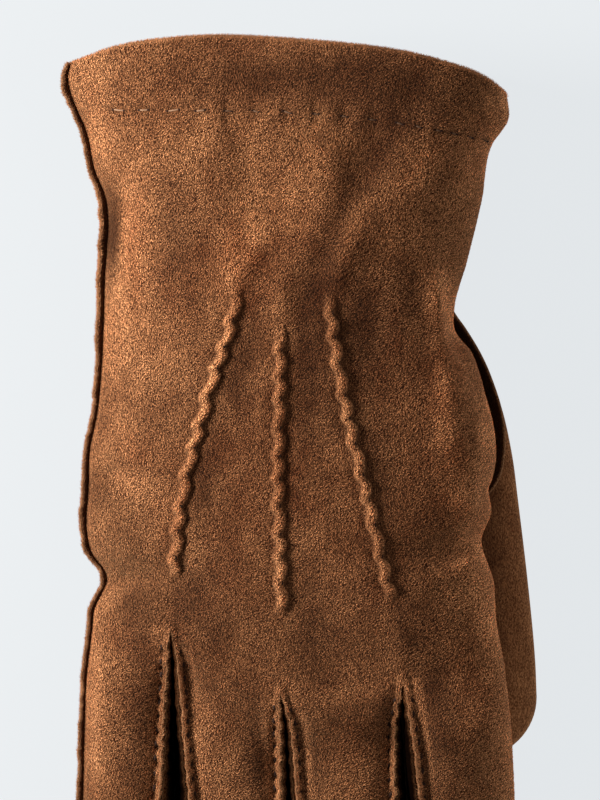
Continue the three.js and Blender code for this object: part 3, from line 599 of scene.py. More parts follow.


# The small painted shadows round the ends of the hem's stitches
def hemShadows(places):
    hem = trankSettings["hemStitch"]
    middles, halves = np.array(hemStitches["x"]), np.array(hemStitches["length"]) / 2
    ends = [middles + way * (halves + hem["paintedShadowOut"]) for way in (-1, 1)]
    away = np.abs(places[:, :1] - np.concatenate(ends)[None, :]).min(axis=1)
    across = places[:, 1] - hemLine(places[:, 0])
    return hem["paintedShadow"] * np.exp(-((away / hem["paintedShadowHalf"][0]) ** 2) - (across / hem["paintedShadowHalf"][1]) ** 2)


# A finger's section at distances past measureY, along its own direction
def fingerSection(number, distance):
    finger, shape = fingers[number], fingerShape
    toTip = clamp(distance / finger["reach"])
    slim = mix(1, fingerSlim, toTip)
    raised = thumbLift(thumbTip["y"]) * (1 - ease(distance / indexLandsAt)) if number == 3 else 0 * slim
    cornerTop = raised + finger["corner"] * slim
    cornerUnder = raised + trankSettings["palmSeamStand"] + 0.2
    edge = raised + finger["edge"] * slim
    width = finger["width"] * mix(1, finger["taper"], toTip)
    first, last = number == 0, number == 3
    toMiddle = ease((distance / finger["reach"] - 0.5) * 2)
    return {
        "width": width, "leftInset": 0 if first else baseOffset / width,
        "rightInset": 0 if last else baseOffset / width, "crest": raised + finger["crest"] * slim,
        "leftTop": edge + sideLayer if first else cornerTop,
        "leftUnder": edge - sideLayer if first else cornerUnder,
        "rightTop": edge if last else cornerTop, "rightUnder": edge if last else cornerUnder,
        "leftRound": shape["seamRound"] if first else shape["cornerRound"],
        "rightRound": shape["foldRound"] if last else shape["cornerRound"],
        "leftCurl": shape["outerCurl"] if first else shape["cornerCurl"],
        "rightCurl": shape["outerCurl"] if last else shape["cornerCurl"],
        "floor": lambda share: raised + 0 * share,
        "middle": mix(edge if finger["edge"] else raised + tipHeight, tipHeight, toMiddle),
        "edgeMiddle": edge,
    }


def fingerPlace(number, across, distance):
    finger = fingers[number]
    turn = math.radians(finger["lean"])
    x = finger["x"] + math.sin(turn) * distance + math.cos(turn) * across
    return x, measureY - math.cos(turn) * distance + math.sin(turn) * across


def reachAt(number, aside):
    closing = tipCurve["corner"] * clamp(2 * aside) ** tipCurve["square"]
    return fingers[number]["reach"] - tipRound * (1 - np.sqrt(1 - closing))


def narrowAt(number, distance):
    past = clamp((distance - fingers[number]["reach"]) / tipRound + 1)
    return 1 - tipNarrow * (1 - np.sqrt(1 - past ** 2))


def openAt(distance, end):
    return np.sqrt(1 - (1 - clamp((end - distance) / tipRound)) ** 2)


# Where a line at a share across a finger lies, closing towards the tip
def fingerSurface(number, face, share, distance, end):
    section = fingerSection(number, distance)
    way = 1 if face == "back" else -1
    full = topOf(section, share) if way > 0 else underOf(section, share)
    flat = section["middle"] + (full - section["middle"]) * openAt(distance, end)
    meet = section["middle"] + way * seamGap / 2
    return np.maximum(flat, meet) if way > 0 else np.minimum(flat, meet)


fingerRowCount = 76


# Rows along a finger, closer where its seams show best
def fingerShares():
    steps = np.full(fingerRowCount, 0.74)
    steps[:5] = [0.25, 0.35, 0.45, 0.6, 0.7]
    steps[-20:] = np.linspace(1.6, 3.6, 20)
    steps[-8:] = [2.2, 1.8, 1.4, 1.05, 0.8, 0.55, 0.4, 0.25]
    return np.concatenate([[0], np.cumsum(steps) / steps.sum()])


# The one row at the forks, where the hand's columns end and the fingers' begin
forkCuffRow, forkShare = np.array([False]), np.array([1.0])
forkLeather = 0.7  # the leather's thickness at a seam's edge
forkDrop = 0.04  # how fast the seams' inner edges fall back from the fork
seamEase = {"aside": 11, "along": 6, "height": 9}  # a seam's line reaches its own place so far past the fork


# The hand's section at the fork, as single numbers
def forkSection(section):
    first = {key: value[0] if isinstance(value, np.ndarray) else value for key, value in section.items()}
    return {**first, "floor": lambda share: section["floor"](share)[0]}


# A line that follows a finger's side at a distance from it. handOffset is its distance from the fork's line
# at the fork; it reaches its own offset over the arch's length, which starts archStart past the fork.
def sideLine(number, face, side, handOffset, offset, shares, archStart=0.0):
    back = face == "back"
    fork = number if side > 0 else number - 1
    column = {"face": face, "finger": number, "kind": "profile", "fork": fork, "side": side, "place": 0}
    x, y, section = settle(column, forkCuffRow, forkShare)
    forkX, forkY = float(x[0]), float(y[0])
    rootX = forkX - side * handOffset
    rootShare = (rootX - float(section["left"][0])) / float(section["width"][0])
    rootZ = float((topOf if back else underOf)(forkSection(section), rootShare))
    if back:
        rootZ += float(foldsAt(rootX, forkY, backFolds))
    turn = math.radians(fingers[number]["lean"])
    rootDistance = (measureY - forkY) / math.cos(turn)
    for _ in range(3):
        width = float(fingerSection(number, np.array([rootDistance]))["width"][0])
        rootDistance = (measureY - forkY + math.sin(turn) * side * width / 2) / math.cos(turn)
    end = float(reachAt(number, (width / 2 - offset) / width))
    distance = mix(rootDistance, end, shares)
    past = distance - rootDistance
    section = fingerSection(number, distance)
    narrow = narrowAt(number, distance)
    outer = section["width"] / 2 - (section["width"] / 2 - baseOffset) * (1 - narrow)
    sideX, _ = fingerPlace(number, side * outer, distance)
    arch = partAt((past - archStart) / trankSettings["archLength"])
    apart = mix(handOffset, offset, arch)
    share = np.maximum(offset, baseOffset) / section["width"]
    share = 1 - share if side > 0 else share
    z = fingerSurface(number, face, share, distance, end)
    z = z + (rootZ - z[0]) * (1 - ease(past / fingerEaseIn))
    x = sideX - side * apart + (forkX - sideX[0]) * (1 - ease(past / seamEase["aside"]))
    _, y = fingerPlace(number, side * (outer - apart), distance)
    y = y + (forkY - y[0]) * (1 - ease(past / seamEase["along"]))
    stand = trankSettings["seamStand"] if back else -trankSettings["palmSeamStand"]
    grow = mix(trankSettings["forkStand"] if back else 0.0, 1, ease(past / trankSettings["forkGrow"]))
    standing = stand * grow * mix(tipSeamStand, 1, openAt(distance, end))
    return x, y, z, standing, past, arch, distance, end


# The softly random part of a finger seam, different at each seam
def seamWaves(past, number, side, size, seed):
    return softWaves(past, past * 0 + number * 9 + side * 3, size, seed)


# How a finger seam's edge wanders to the side, drawn in a little at each stitch
def seamRipple(past, number, side):
    wobble = np.sin(past * 2 * math.pi / trankSettings["stitchPitch"] + number * 1.3 + side)
    uneven = 0.14 * seamWaves(past, number, side, 3.1, 11) + 0.1 * seamWaves(past, number, side, 1.5, 12)
    return ((0.24 if side > 0 else 0.14) * wobble + uneven) * ease(past / 5)


# How far a finger seam's top leans away from the gap
def seamLeanAt(past):
    return trankSettings["seamLean"] * ease(past / 5)


# A finger's column beside a seam, from the fork to the tip: its smooth places, the same as shown, its inner
# face, how far that is followed, and the painted shade in the stitch holes
def seamSideColumn(column, number, shares):
    face, back = column["face"], column["face"] == "back"
    side, place, table = column["side"], column["place"], profile[face]
    x, y, z, standing, past, arch, distance, end = sideLine(
        number, face, side, table["hand"][place], table["finger"][place], shares)
    ripple, lean = (seamRipple(past, number, side), seamLeanAt(past)) if back else (0 * past, 0 * past)
    rise = mix(table["handRise"][place], table["fingerRise"][place], arch)
    moved = x - side * (ripple * (place < 5) + lean * rise)
    shown = z + standing * rise * (1 + 0.2 * seamWaves(past, number, side, 3.1, 11))
    hole = stitchHole(past / trankSettings["stitchPitch"], 0.16)
    # Painted shade in the stitch holes beside the back's finger seams
    paintedShadows = 0.8 * hole * ease(past / 4) * (place in (3, 4) and back)
    if back:
        shown = shown - 0.7 * hole * ease(past / 4) * (place in (4, 5))
        last = len(table["hand"]) - 1
        shown = withWaves(shown, x, y, openAt(distance, end), place, last)
        shown = shown + foldsAt(x, y, fineFolds) * place / last
    places, shownPlaces = np.stack([x, y, z], 1), np.stack([moved, y, shown], 1)
    asideEase, heightEase = 1 - ease(past / seamEase["aside"]), 1 - ease(past / seamEase["height"])
    roots = handColumn(column, forkCuffRow, forkShare)
    shifts = [root[0] - made[0] for root, made in zip(roots, (places, shownPlaces))]
    for made, shift in zip((places, shownPlaces), shifts):
        made[:, :2] += np.outer(asideEase, shift[:2])
        made[:, 2] += heightEase * shift[2]
    atLine = place == 0
    innerX, innerY, innerZ, innerStand, *_ = sideLine(
        number, face, side, 0.0 if atLine else table["hand"][place], table["inner"][place], shares,
        forkLeather if atLine else 0.0)
    innerRise = table["innerRise"][place]
    innerX = innerX - side * (ripple * (place < 5) + lean * max(innerRise, 0))
    given = np.stack([innerX, innerY, innerZ + innerStand * innerRise], 1)
    given[:, :2] += np.outer(asideEase, shifts[1][:2])
    if atLine:
        limit = y[0] - forkLeather - forkDrop * past
        given[:, 1] = np.minimum(given[:, 1], np.where(past < 1.2, limit, given[:, 1]))
    return places, shownPlaces, given, np.ones(len(past)) if atLine else ease(past / 2.5), paintedShadows


# A finger's column between its seams or at the side seam, given as above
def acrossFingerColumn(column, number, shares):
    face, back = column["face"], column["face"] == "back"
    way = 1 if back else -1
    root, rootShown = (part[0] for part in handColumn(column, forkCuffRow, forkShare)[:2])
    turn = math.radians(fingers[number]["lean"])
    rootDistance = (measureY - root[1]) / math.cos(turn)

    def acrossAt(distance):
        section = fingerSection(number, distance)
        width, narrow = section["width"], narrowAt(number, distance)
        if column["kind"] == "seam":
            strip = float(stripWidth(seamSide["y"][-1]))
            offset = strip * column["strip"] + (column["past"] or 0)
            wander = seamWander(column, measureY - distance)
            return -width * narrow / 2 + offset + wander, (offset - strip) / width, section
        inset = profile["back"]["finger"][-1]
        startInset = seamColumns[face]["past"][-1] + 1.7 if number == 0 else inset
        start, last = startInset / width, (1 if number == 3 else 1 - inset / width)
        share = shareOf(column, start, last, section["rightCurl"])
        return (share - 0.5) * width * narrow, share, section

    for _ in range(3):
        across = float(acrossAt(np.array([rootDistance]))[0][0])
        rootDistance = (measureY - root[1] + math.sin(turn) * across) / math.cos(turn)
    width = float(fingerSection(number, np.array([rootDistance]))["width"][0])
    end = float(reachAt(number, abs(across) / width))
    distance = mix(rootDistance, end, shares)
    keep = 1 - ease((distance - rootDistance) / fingerEaseIn)
    closing = openAt(distance, end)
    acrossRow, share, section = acrossAt(distance)
    x, y = fingerPlace(number, acrossRow, distance)
    z = fingerSurface(number, face, share, distance, end)
    given, blend = None, None
    if column["kind"] == "seam":
        edge = section["edgeMiddle"]
        flange = edge + way * (seamGap / 2 + trankSettings["leather"] * mix(0.35, 1, closing))
        lift = way * column["lift"] * closing * sideSeamLift
        if column["past"] is None:
            z, given = flange + lift, np.stack([x, y, edge + way * seamGap / 2], 1)
        else:
            z = mix(flange, z, clamp(column["past"])) + lift
    shift = root - np.array([x[0], y[0], z[0]])
    x = x + shift[0] * keep
    y = y + shift[1] * keep
    z = z + shift[2] * keep
    if given is not None:
        given, blend = given + np.outer(keep, shift), np.ones(len(x))
    shown = z
    if back:
        fade = ease(share / 0.12) if number == 0 else np.ones(len(x))
        shown = withWaves(z, x, y, closing * fade) + foldsAt(x, y, fineFolds) * fade
        shown = shown + (rootShown[2] - shown[0]) * keep
    return np.stack([x, y, z], 1), np.stack([x, y, shown], 1), given, blend, np.zeros(len(x))


def fingerColumn(column, number, shares):
    return (seamSideColumn if column["kind"] == "profile" else acrossFingerColumn)(column, number, shares)


# The faces between neighbouring points of a grid, given each point's number
def gridFaces(index):
    return np.stack([index[:-1, :-1], index[1:, :-1], index[1:, 1:], index[:-1, 1:]], -1).reshape(-1, 4)


# Each face's direction, twice as long as its area
def faceNormals(places, quads):
    across = places[quads[:, 2]] - places[quads[:, 0]]
    along = places[quads[:, 3]] - places[quads[:, 1]]
    return np.cross(across, along)


tiny = 1e-12


def gridNormals(places, quads):
    ofFaces = faceNormals(places, quads)
    normals = np.zeros_like(places)
    for corner in range(4):
        np.add.at(normals, quads[:, corner], ofFaces)
    length = np.linalg.norm(normals, axis=1, keepdims=True)
    return normals / np.maximum(length, tiny)


rimRows = 3  # extra rows that round over a cut edge


# A sheet of leather between its outer and inner points, which share their lists of faces. Its cut edges are
# rounded over by extra rows, whose points follow the others in the order of the rim.
def sheetParts(outer, inner, groups, rimRound=0.9):
    count = len(outer)
    starts = np.concatenate([group.reshape(-1) for group in groups])
    ends = np.concatenate([np.roll(group, -1, axis=1).reshape(-1) for group in groups])
    forward = starts.astype(np.int64) * count + ends
    backward = ends.astype(np.int64) * count + starts
    edge = ~np.isin(forward, backward)
    starts, ends = starts[edge], ends[edge]
    depth = outer - inner
    outward = np.zeros_like(outer)
    away = np.cross(outer[ends] - outer[starts], (depth[starts] + depth[ends]) / 2)
    np.add.at(outward, starts, away)
    np.add.at(outward, ends, away)
    outward /= np.maximum(np.linalg.norm(outward, axis=1, keepdims=True), tiny)
    rim = np.unique(np.concatenate([starts, ends]))
    slot = np.full(count, -1)
    slot[rim] = np.arange(len(rim))
    middle, half = (outer[rim] + inner[rim]) / 2, depth[rim] / 2
    bulge = np.linalg.norm(half, axis=1, keepdims=True) * rimRound
    rows = []
    for k in range(rimRows):
        turn = math.pi * (k + 1) / (rimRows + 1)
        rows.append(middle + half * math.cos(turn) + outward[rim] * bulge * math.sin(turn))

    def at(row, which):
        if row < 0:
            return which
        if row >= rimRows:
            return which + count
        return 2 * count + row * len(rim) + slot[which]

    faces = groups + [group[:, ::-1] + count for group in groups]
    for row in range(-1, rimRows):
        faces.append(np.stack([at(row, ends), at(row, starts), at(row + 1, starts), at(row + 1, ends)], 1))
    return np.concatenate([outer, inner] + rows), faces, rim


# 1 on the rows that round over a sheet's cut edge
def cutEdgeOf(outer, rim):
    return np.concatenate([np.zeros(2 * len(outer)), np.ones(rimRows * len(rim))])


def addObject(name, data):
    made = bpy.data.objects.new(name, data)
    bpy.context.scene.collection.objects.link(made)
    return made


def meshPiece(name, places, faces, attributes):
    sizes = np.concatenate([np.full(len(group), group.shape[1]) for group in faces])
    corners = np.concatenate([group.reshape(-1) for group in faces]).astype(np.int32)
    mesh = bpy.data.meshes.new(name)
    mesh.vertices.add(len(places))
    mesh.vertices.foreach_set("co", (places * millimetre).astype(np.float32).reshape(-1))
    mesh.loops.add(len(corners))
    mesh.loops.foreach_set("vertex_index", corners)
    mesh.polygons.add(len(sizes))
    mesh.polygons.foreach_set("loop_start", np.concatenate([[0], np.cumsum(sizes)[:-1]]).astype(np.int32))
    mesh.update(calc_edges=True)
    mesh.validate()
    mesh.shade_smooth()
    for key, values in attributes.items():
        layer = mesh.attributes.new(key, "FLOAT", "POINT")
        layer.data.foreach_set("value", values.astype(np.float32))
    return addObject(name, mesh)


# How far places lie from the middle of the thumb's oval hole; below 1 is inside it
def inThumbHole(places, grow=0.0):
    hole = thumbHole
    return np.hypot((places[:, 0] - hole["x"]) / (hole["halfWidth"] + grow),
                    (places[:, 1] - hole["y"]) / (hole["halfLength"] + grow))


# Cuts the thumb's oval out of a grid, and draws the points left along it onto the oval
def cutThumbHole(outer, inner, quads, allowed):
    centre = outer[quads].mean(axis=1)
    cut = (inThumbHole(centre) < 1) & allowed[quads].all(axis=1)
    kept, gone = quads[~cut], quads[cut]
    onEdge = np.intersect1d(kept.reshape(-1), gone.reshape(-1))
    for places in (outer, inner):
        far = inThumbHole(places[onEdge])
        for axis, key in ((0, "x"), (1, "y")):
            places[onEdge, axis] = thumbHole[key] + (places[onEdge, axis] - thumbHole[key]) / far
    return kept


# How pale a ridge's top is painted (painted highlight) and how dark its crease is painted (painted shade),
# column by column beside it; the shares of the two sides; and the painted shade beside the side seam, which
# is deepest about y
ridgeTones = {
    "top": [1, 1, 0.85, 0.4, 0, 0, 0, 0], "fingerTop": {1: 0.15, -1: 0.6},
    "crease": [0, 0, 0, 0.2, 0.8, 0.45, 0.1, 0], "creaseSide": {1: 0.6, -1: 1},
}
sideSeamTones = {"shade": 0.75, "y": 41, "reach": 12, "rim": 0.88, "rimGrow": 2}
innerShade = 0.5
rimShade = 0.35


# How much painted light (above 0) or painted shade lies on the back's nap
def paintedLightShadeAt(column, places, onFinger):
    x, y = places[:, 0], places[:, 1]
    if column["face"] != "back" or (column["kind"] == "seam" and column["past"] is None):
        return np.zeros(len(y))
    pale = clamp(foldsAt(x, y, paintedLightShadePatches), -1, 1)
    if column["kind"] != "profile":
        return pale
    top = ridgeTones["top"][column["place"]]
    if onFinger:
        return np.maximum(pale, top * ridgeTones["fingerTop"][column["side"]])
    return mix(pale, trankSettings["points"][column["fork"]]["pale"], top * ridgeAt(column["fork"], y))


# How deep the painted shade is in the ridges' creases and at the side seam
def paintedShadeAt(column, y, onFinger):
    if column["kind"] == "profile" and column["face"] == "back" and not onFinger:
        crease = ridgeTones["crease"][column["place"]] * ridgeTones["creaseSide"][column["side"]]
        return crease * ridgeAt(column["fork"], y)
    if column["kind"] != "seam":
        return np.zeros(len(y))
    if column["face"] == "palm":
        return np.full(len(y), column["dark"])
    tones = sideSeamTones
    if column["past"] is not None:
        deepest = np.exp(-(((y - tones["y"]) / tones["reach"]) ** 2))
        return np.maximum(column["dark"], tones["shade"] * deepest)
    rim = min(tones["rim"] + tones["rimGrow"] * column["strip"], 1)
    return mix(rim, column["dark"], clamp(lookUp(seamSide, "y", "pale", y)))


# Where the nap grows: cut edges under the glove or in the thumb's hole carry none, and past the picture's
# edge it thins out over a few millimetres
napSpan = {"above": 5.5, "clearOfThumb": 4, "last": -112, "fade": 8, "thin": 0.3}


def makeTrank():
    settings = trankSettings
    columns = trankColumns()
    cuffRows, shares = handRows()
    along = fingerShares()
    rows, across = len(shares), len(columns)
    names = ("smooth", "shown", "given", "follow", "thick", "shade", "rubbed", "isPalm")
    parts = {name: [] for name in names}

    def keep(column, made, thick, onFinger):
        smooth, shown, given, follow, paintedShadows = made
        count = len(smooth)
        row = {
            "smooth": smooth, "shown": shown, "given": np.zeros_like(smooth) if given is None else given,
            "follow": np.zeros(count) if given is None else follow, "thick": thick,
            "shade": np.maximum(paintedShadeAt(column, smooth[:, 1], onFinger), paintedShadows),
            "rubbed": paintedLightShadeAt(column, smooth, onFinger), "isPalm": np.full(count, column["face"] == "palm"),
        }
        for name, values in row.items():
            parts[name].append(values)

    handThick = np.where(cuffRows | (shares < settings["hemPast"] / handLength),
                         settings["hemThickness"], settings["leather"])
    for column in columns:
        smooth, shown, given = handColumn(column, cuffRows, shares)
        # Painted shadows round the ends of the hem's stitches
        paintedShadows = hemShadows(smooth) * (column["face"] == "back")
        keep(column, (smooth, shown, given, np.ones(rows), paintedShadows), handThick, False)
    index = np.arange(across)[None, :] * rows + np.arange(rows)[:, None]
    quads = [gridFaces(index)]
    total = rows * across
    past = len(along) - 1
    fingerThick = np.full(past, settings["leather"])
    forks = [k for k, column in enumerate(columns) if column["kind"] == "profile" and column["place"] == 0]
    cuts = [0] + forks + [across - 1]
    for k in range(len(cuts) - 1):
        number = k if k <= 3 else 6 - k  # little to index finger over the back, and home over the palm
        grid = []
        for place in range(cuts[k], cuts[k + 1] + 1):
            column = dict(columns[place])
            if place in forks:
                column["side"] = 1 if column["fork"] == number else -1
            made = fingerColumn(column, number, along)
            keep(column, [None if part is None else part[1:] for part in made], fingerThick, True)
            grid.append(np.concatenate([[index[-1, place]], total + np.arange(past)]))
            total += past
        quads.append(gridFaces(np.stack(grid, 1)))
    quads = np.concatenate(quads)
    made = {name: np.concatenate(values) for name, values in parts.items()}
    smooth, shown, shade, isPalm = (made[name] for name in ("smooth", "shown", "shade", "isPalm"))
    plain = smooth - gridNormals(smooth, quads) * made["thick"][:, None]
    plain[:, 2] += np.minimum(shown[:, 2] - smooth[:, 2], 0)  # so a fold's hollow keeps its leather
    for place in forks[:3]:  # at a fork the back's inner face lies past its cut edge
        apex = index[-1, place]
        made["given"][apex] = shown[apex] + np.array([0, -forkLeather, 0])
        made["follow"][apex] = 1
    inner = mix(plain, made["given"], made["follow"][:, None])
    quads = cutThumbHole(shown, inner, quads, isPalm)
    places, faces, rim = sheetParts(shown, inner, [quads])
    places[:, 2] = np.maximum(places[:, 2], 0)
    # The painted shade goes at half strength onto the inner face and faintly onto the rounded rims; painted
    # light and shade lies on the back's face only
    attributes = {
        "paintedShade": np.concatenate([shade, shade * innerShade, np.tile(shade[rim] * rimShade, rimRows)]),
        "cutEdgeAndHighlight": cutEdgeOf(shown, rim),
        "rubbed": np.concatenate([made["rubbed"], np.zeros(len(shown) + rimRows * len(rim))]),
    }
    piece = meshPiece("trank_leather", places, faces, attributes)
    back = quads[~isPalm[quads].any(axis=1)]
    edge = np.concatenate(faces[2:])
    centre = places[edge].mean(1)
    shows = (centre[:, 2] > napSpan["above"]) & (centre[:, 1] > napSpan["last"])
    return piece, places, back, edge[shows & (inThumbHole(centre, napSpan["clearOfThumb"]) > 1)], attributes


print("trank")
trank, trankPlaces, backFaces, edgeFaces, trankTones = makeTrank()
print("trank faces", len(trank.data.polygons))
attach(trank, "root")
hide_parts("trank")


# A fourchette: one strip up a finger's side, round the fork and down the next finger's side. Its cut edges
# stand beside the trank's, and between them it swells until its two sides nearly meet.
fourchetteSettings = {
    "edges": {"face": {"offset": -0.2, "start": 1.6}, "inner": {"offset": 0.5, "start": 0.8}},
    "edgeHeight": 0.95, "edgeBelow": 0.2, "apart": 0.25,
    "swell": 2.7, "swellPower": 1.1,
    "shoulder": {1: 0.4, -1: 0.2}, "shoulderDepth": 1.6, "shoulderFrom": 0.12, "leanFrom": 0.6,
    "levels": [0, 0.12, 0.3, 0.5, 0.66, 0.78, 0.86, 0.91, 0.95, 0.98, 1],
    # How dark each level is painted on each side: painted shade deep in the gap between the fingers, less of
    # it at the fork
    "dark": {1: [1, 1, 1, 1, 0.97, 0.75, 0.5, 0.4, 0.3, 0.2, 0.1],
             -1: [1, 1, 1, 1, 1, 1, 1, 1, 1, 0.95, 0.75]},
    "darkAtFork": 0.45, "darkGrow": 16,
    "above": 0.1, "rimRound": 0.4, "rimTone": 0.6,
}


# The room from a finger's side to the middle of the gap beside it
def roomBeside(number, side, y):
    def sideX(which, sign):
        distance = (measureY - y) / math.cos(math.radians(fingers[which]["lean"]))
        width = fingerSection(which, distance)["width"]
        x, _ = fingerPlace(which, sign * width / 2, distance)
        return np.where(distance > fingers[which]["reach"], sign * -100.0, x)
    return side * (sideX(number + side, -side) - sideX(number, side)) / 2


# One half of a fourchette, from the fork along a finger's side: its face and its inner face
def fourchetteArm(number, side, shares):
    settings = fourchetteSettings
    edges, leans = {}, {}
    for face in ("palm", "back"):
        lower = settings["edgeBelow"] if face == "back" else -settings["edgeBelow"]
        for which, edge in settings["edges"].items():
            x, y, z, standing, past, *_ = sideLine(
                number, face, side, 0.0, edge["offset"], shares, edge["start"])
            z = z + standing * settings["edgeHeight"] - lower
            limit = y[0] - edge["start"] - forkDrop * past
            y = np.where(past < edge["start"] + 0.25, np.minimum(y, limit), y)
            leans[face, which] = seamLeanAt(past)
            aside = (seamRipple(past, number, side) + leans[face, which]) * (face == "back")
            edges[face, which] = np.stack([x - side * aside, y, z], 1)
    lean, backEdge = leans["back", "inner"], edges["back", "face"]
    room = np.maximum(roomBeside(number, side, backEdge[:, 1]) - settings["apart"], 0)
    outer, inner = [], []
    for level in settings["levels"]:
        below = (1 - level) * (backEdge[:, 2] - edges["palm", "face"][:, 2])
        deep = quarterRound(below / settings["shoulderDepth"])
        swell = np.minimum(room, settings["swell"]) * math.sin(level * math.pi) ** settings["swellPower"]
        shoulder = settings["shoulder"][side] * deep * ease(level / settings["shoulderFrom"])
        shoulder = shoulder + lean * (level > settings["leanFrom"]) * deep
        swell = np.minimum(np.maximum(swell, shoulder), room + lean)
        away = np.zeros_like(backEdge)
        away[:, 0] = side * swell
        for made, which in ((outer, "face"), (inner, "inner")):
            made.append(mix(edges["palm", which], edges["back", which], level) + away)
    return np.stack(outer, 1), np.stack(inner, 1)


def makeFourchette(number, name):
    settings = fourchetteSettings
    shares = fingerShares()
    arms = [fourchetteArm(number, 1, shares), fourchetteArm(number + 1, -1, shares)]
    outer, inner = (np.concatenate([left[::-1], right[1:]]) for left, right in zip(*arms))
    # Painted shade deep in the gap, lighter near the fork
    deep = mix(settings["darkAtFork"], 1, ease(shares * fingers[number]["reach"] / settings["darkGrow"]))
    dark = [np.array(settings["dark"][side])[None, :] * deep[:, None] for side in (1, -1)]
    paintedGapShade = np.concatenate([dark[0][::-1], dark[1][1:]]).reshape(-1)
    rows, levels = outer.shape[:2]
    quads = gridFaces(np.arange(rows * levels).reshape(rows, levels))
    outer, inner = outer.reshape(-1, 3), inner.reshape(-1, 3)
    places, faces, rim = sheetParts(outer, inner, [quads], settings["rimRound"])
    places[:, 2] = np.maximum(places[:, 2], settings["above"])
    # Its cut edges are paler: partly their own colour, partly painted highlight
    return meshPiece(name, places, faces, {
        "cutEdgeAndHighlight": cutEdgeOf(outer, rim) * settings["rimTone"],
        "paintedGapShade": np.concatenate([paintedGapShade, paintedGapShade, np.tile(paintedGapShade[rim] ** 0.5, rimRows)])})


print("fourchettes")
fourchettes = []
fourchetteNames = ["fourchette_little_ring", "fourchette_ring_middle", "fourchette_middle_index"]
for number, name in enumerate(fourchetteNames):
    piece = makeFourchette(number, name + "_leather")
    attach(piece, "root")
    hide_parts(name)
    fourchettes.append(piece)


# The thumb's standing seam, seen between the hand's folded side and the thumb. Places are x, y, z.
thumbSeamSettings = {
    "path": [(36.4, 25.6, 8.5), (37.6, 22.5, 8.8), (41.0, 17.6, 8.8), (44.2, 12.4, 8.6), (46.3, 8.2, 8.6),
             (47.9, 4.1, 8.9), (49.6, -1.1, 9.2), (50.4, -5.0, 9.4), (50.8, -9.1, 9.8), (50.6, -14.2, 10.2),
             (49.4, -19.4, 10.5), (46.4, -24.2, 10.5)],
    "section": [(-2.6, -3.4), (-2.3, -2.2), (-0.7, -0.6), (-0.4, 0.5), (-0.1, 0.85), (0.25, 1.0), (0.55, 0.8),
                (0.66, 0.3), (0.6, -3.4)],
    "steps": 120, "endFade": 5, "endWidth": 0.7, "waveRise": 0.12, "wavePitch": 4.0,
    "edgeFrom": 0.2, "edgeTone": 0.3,
}

# The thumb: a flat tube with a round tip, lying under the palm's folded side. Its free part is a little
# uneven (size, rise and seed of each wave). Painted shadow darkens it along its seam, under the hand's
# folded side, and painted light brightens its right part.
thumbSettings = {
    "leather": 1.1, "sides": 88, "step": 1.3, "closedEnd": 4.5, "tipTurns": 16, "cornerTurn": 0.12,
    "free": {"x": 46, "xFade": 5, "y": -6, "yFade": 20}, "waves": [(11, 0.6, 21), (5, 0.2, 22)],
    "dark": {"fade": 0.7, "from": 27, "to": -26, "endFade": 5}, "pale": {"tone": 0.9, "x": 48, "fade": 5},
}


# The faces of a tube of rings, turned outwards, with a pole at each end; the poles are the last two points
def tubeFaces(rings):
    count, sides = rings.shape[:2]
    index = np.arange(count * sides).reshape(count, sides)
    beside = np.roll(index, -1, axis=1)
    quads = np.stack([index[:-1], index[1:], beside[1:], beside[:-1]], -1).reshape(-1, 4)
    poles = np.full(sides, count * sides)
    triangles = np.concatenate([np.stack([poles, index[0], beside[0]], 1),
                                np.stack([poles + 1, beside[-1], index[-1]], 1)])
    places = rings.reshape(-1, 3)
    outwards = places[quads].mean(1) - np.repeat(rings[:-1].mean(1), sides, axis=0)
    if np.mean(np.sum(faceNormals(places, quads) * outwards, 1)) < 0:
        quads, triangles = quads[:, ::-1], triangles[:, ::-1]
    return quads, triangles


def withPoles(rings):
    return np.concatenate([rings.reshape(-1, 3), rings[0].mean(0)[None], rings[-1].mean(0)[None]])


def squared(value):
    return np.sign(value) * np.abs(value) ** thumbSquareness


def thumbRing(y, half, height, inset, turns):
    left, right, top = (float(thumbTable(name, y)) for name in ("left", "right", "top"))
    x = (left + right) / 2 + ((right - left) / 2 - inset) * half * squared(np.cos(turns))
    z = top / 2 + (top / 2 - inset) * height * squared(np.sin(turns))
    return np.stack([x, np.full(len(turns), y), z], 1)


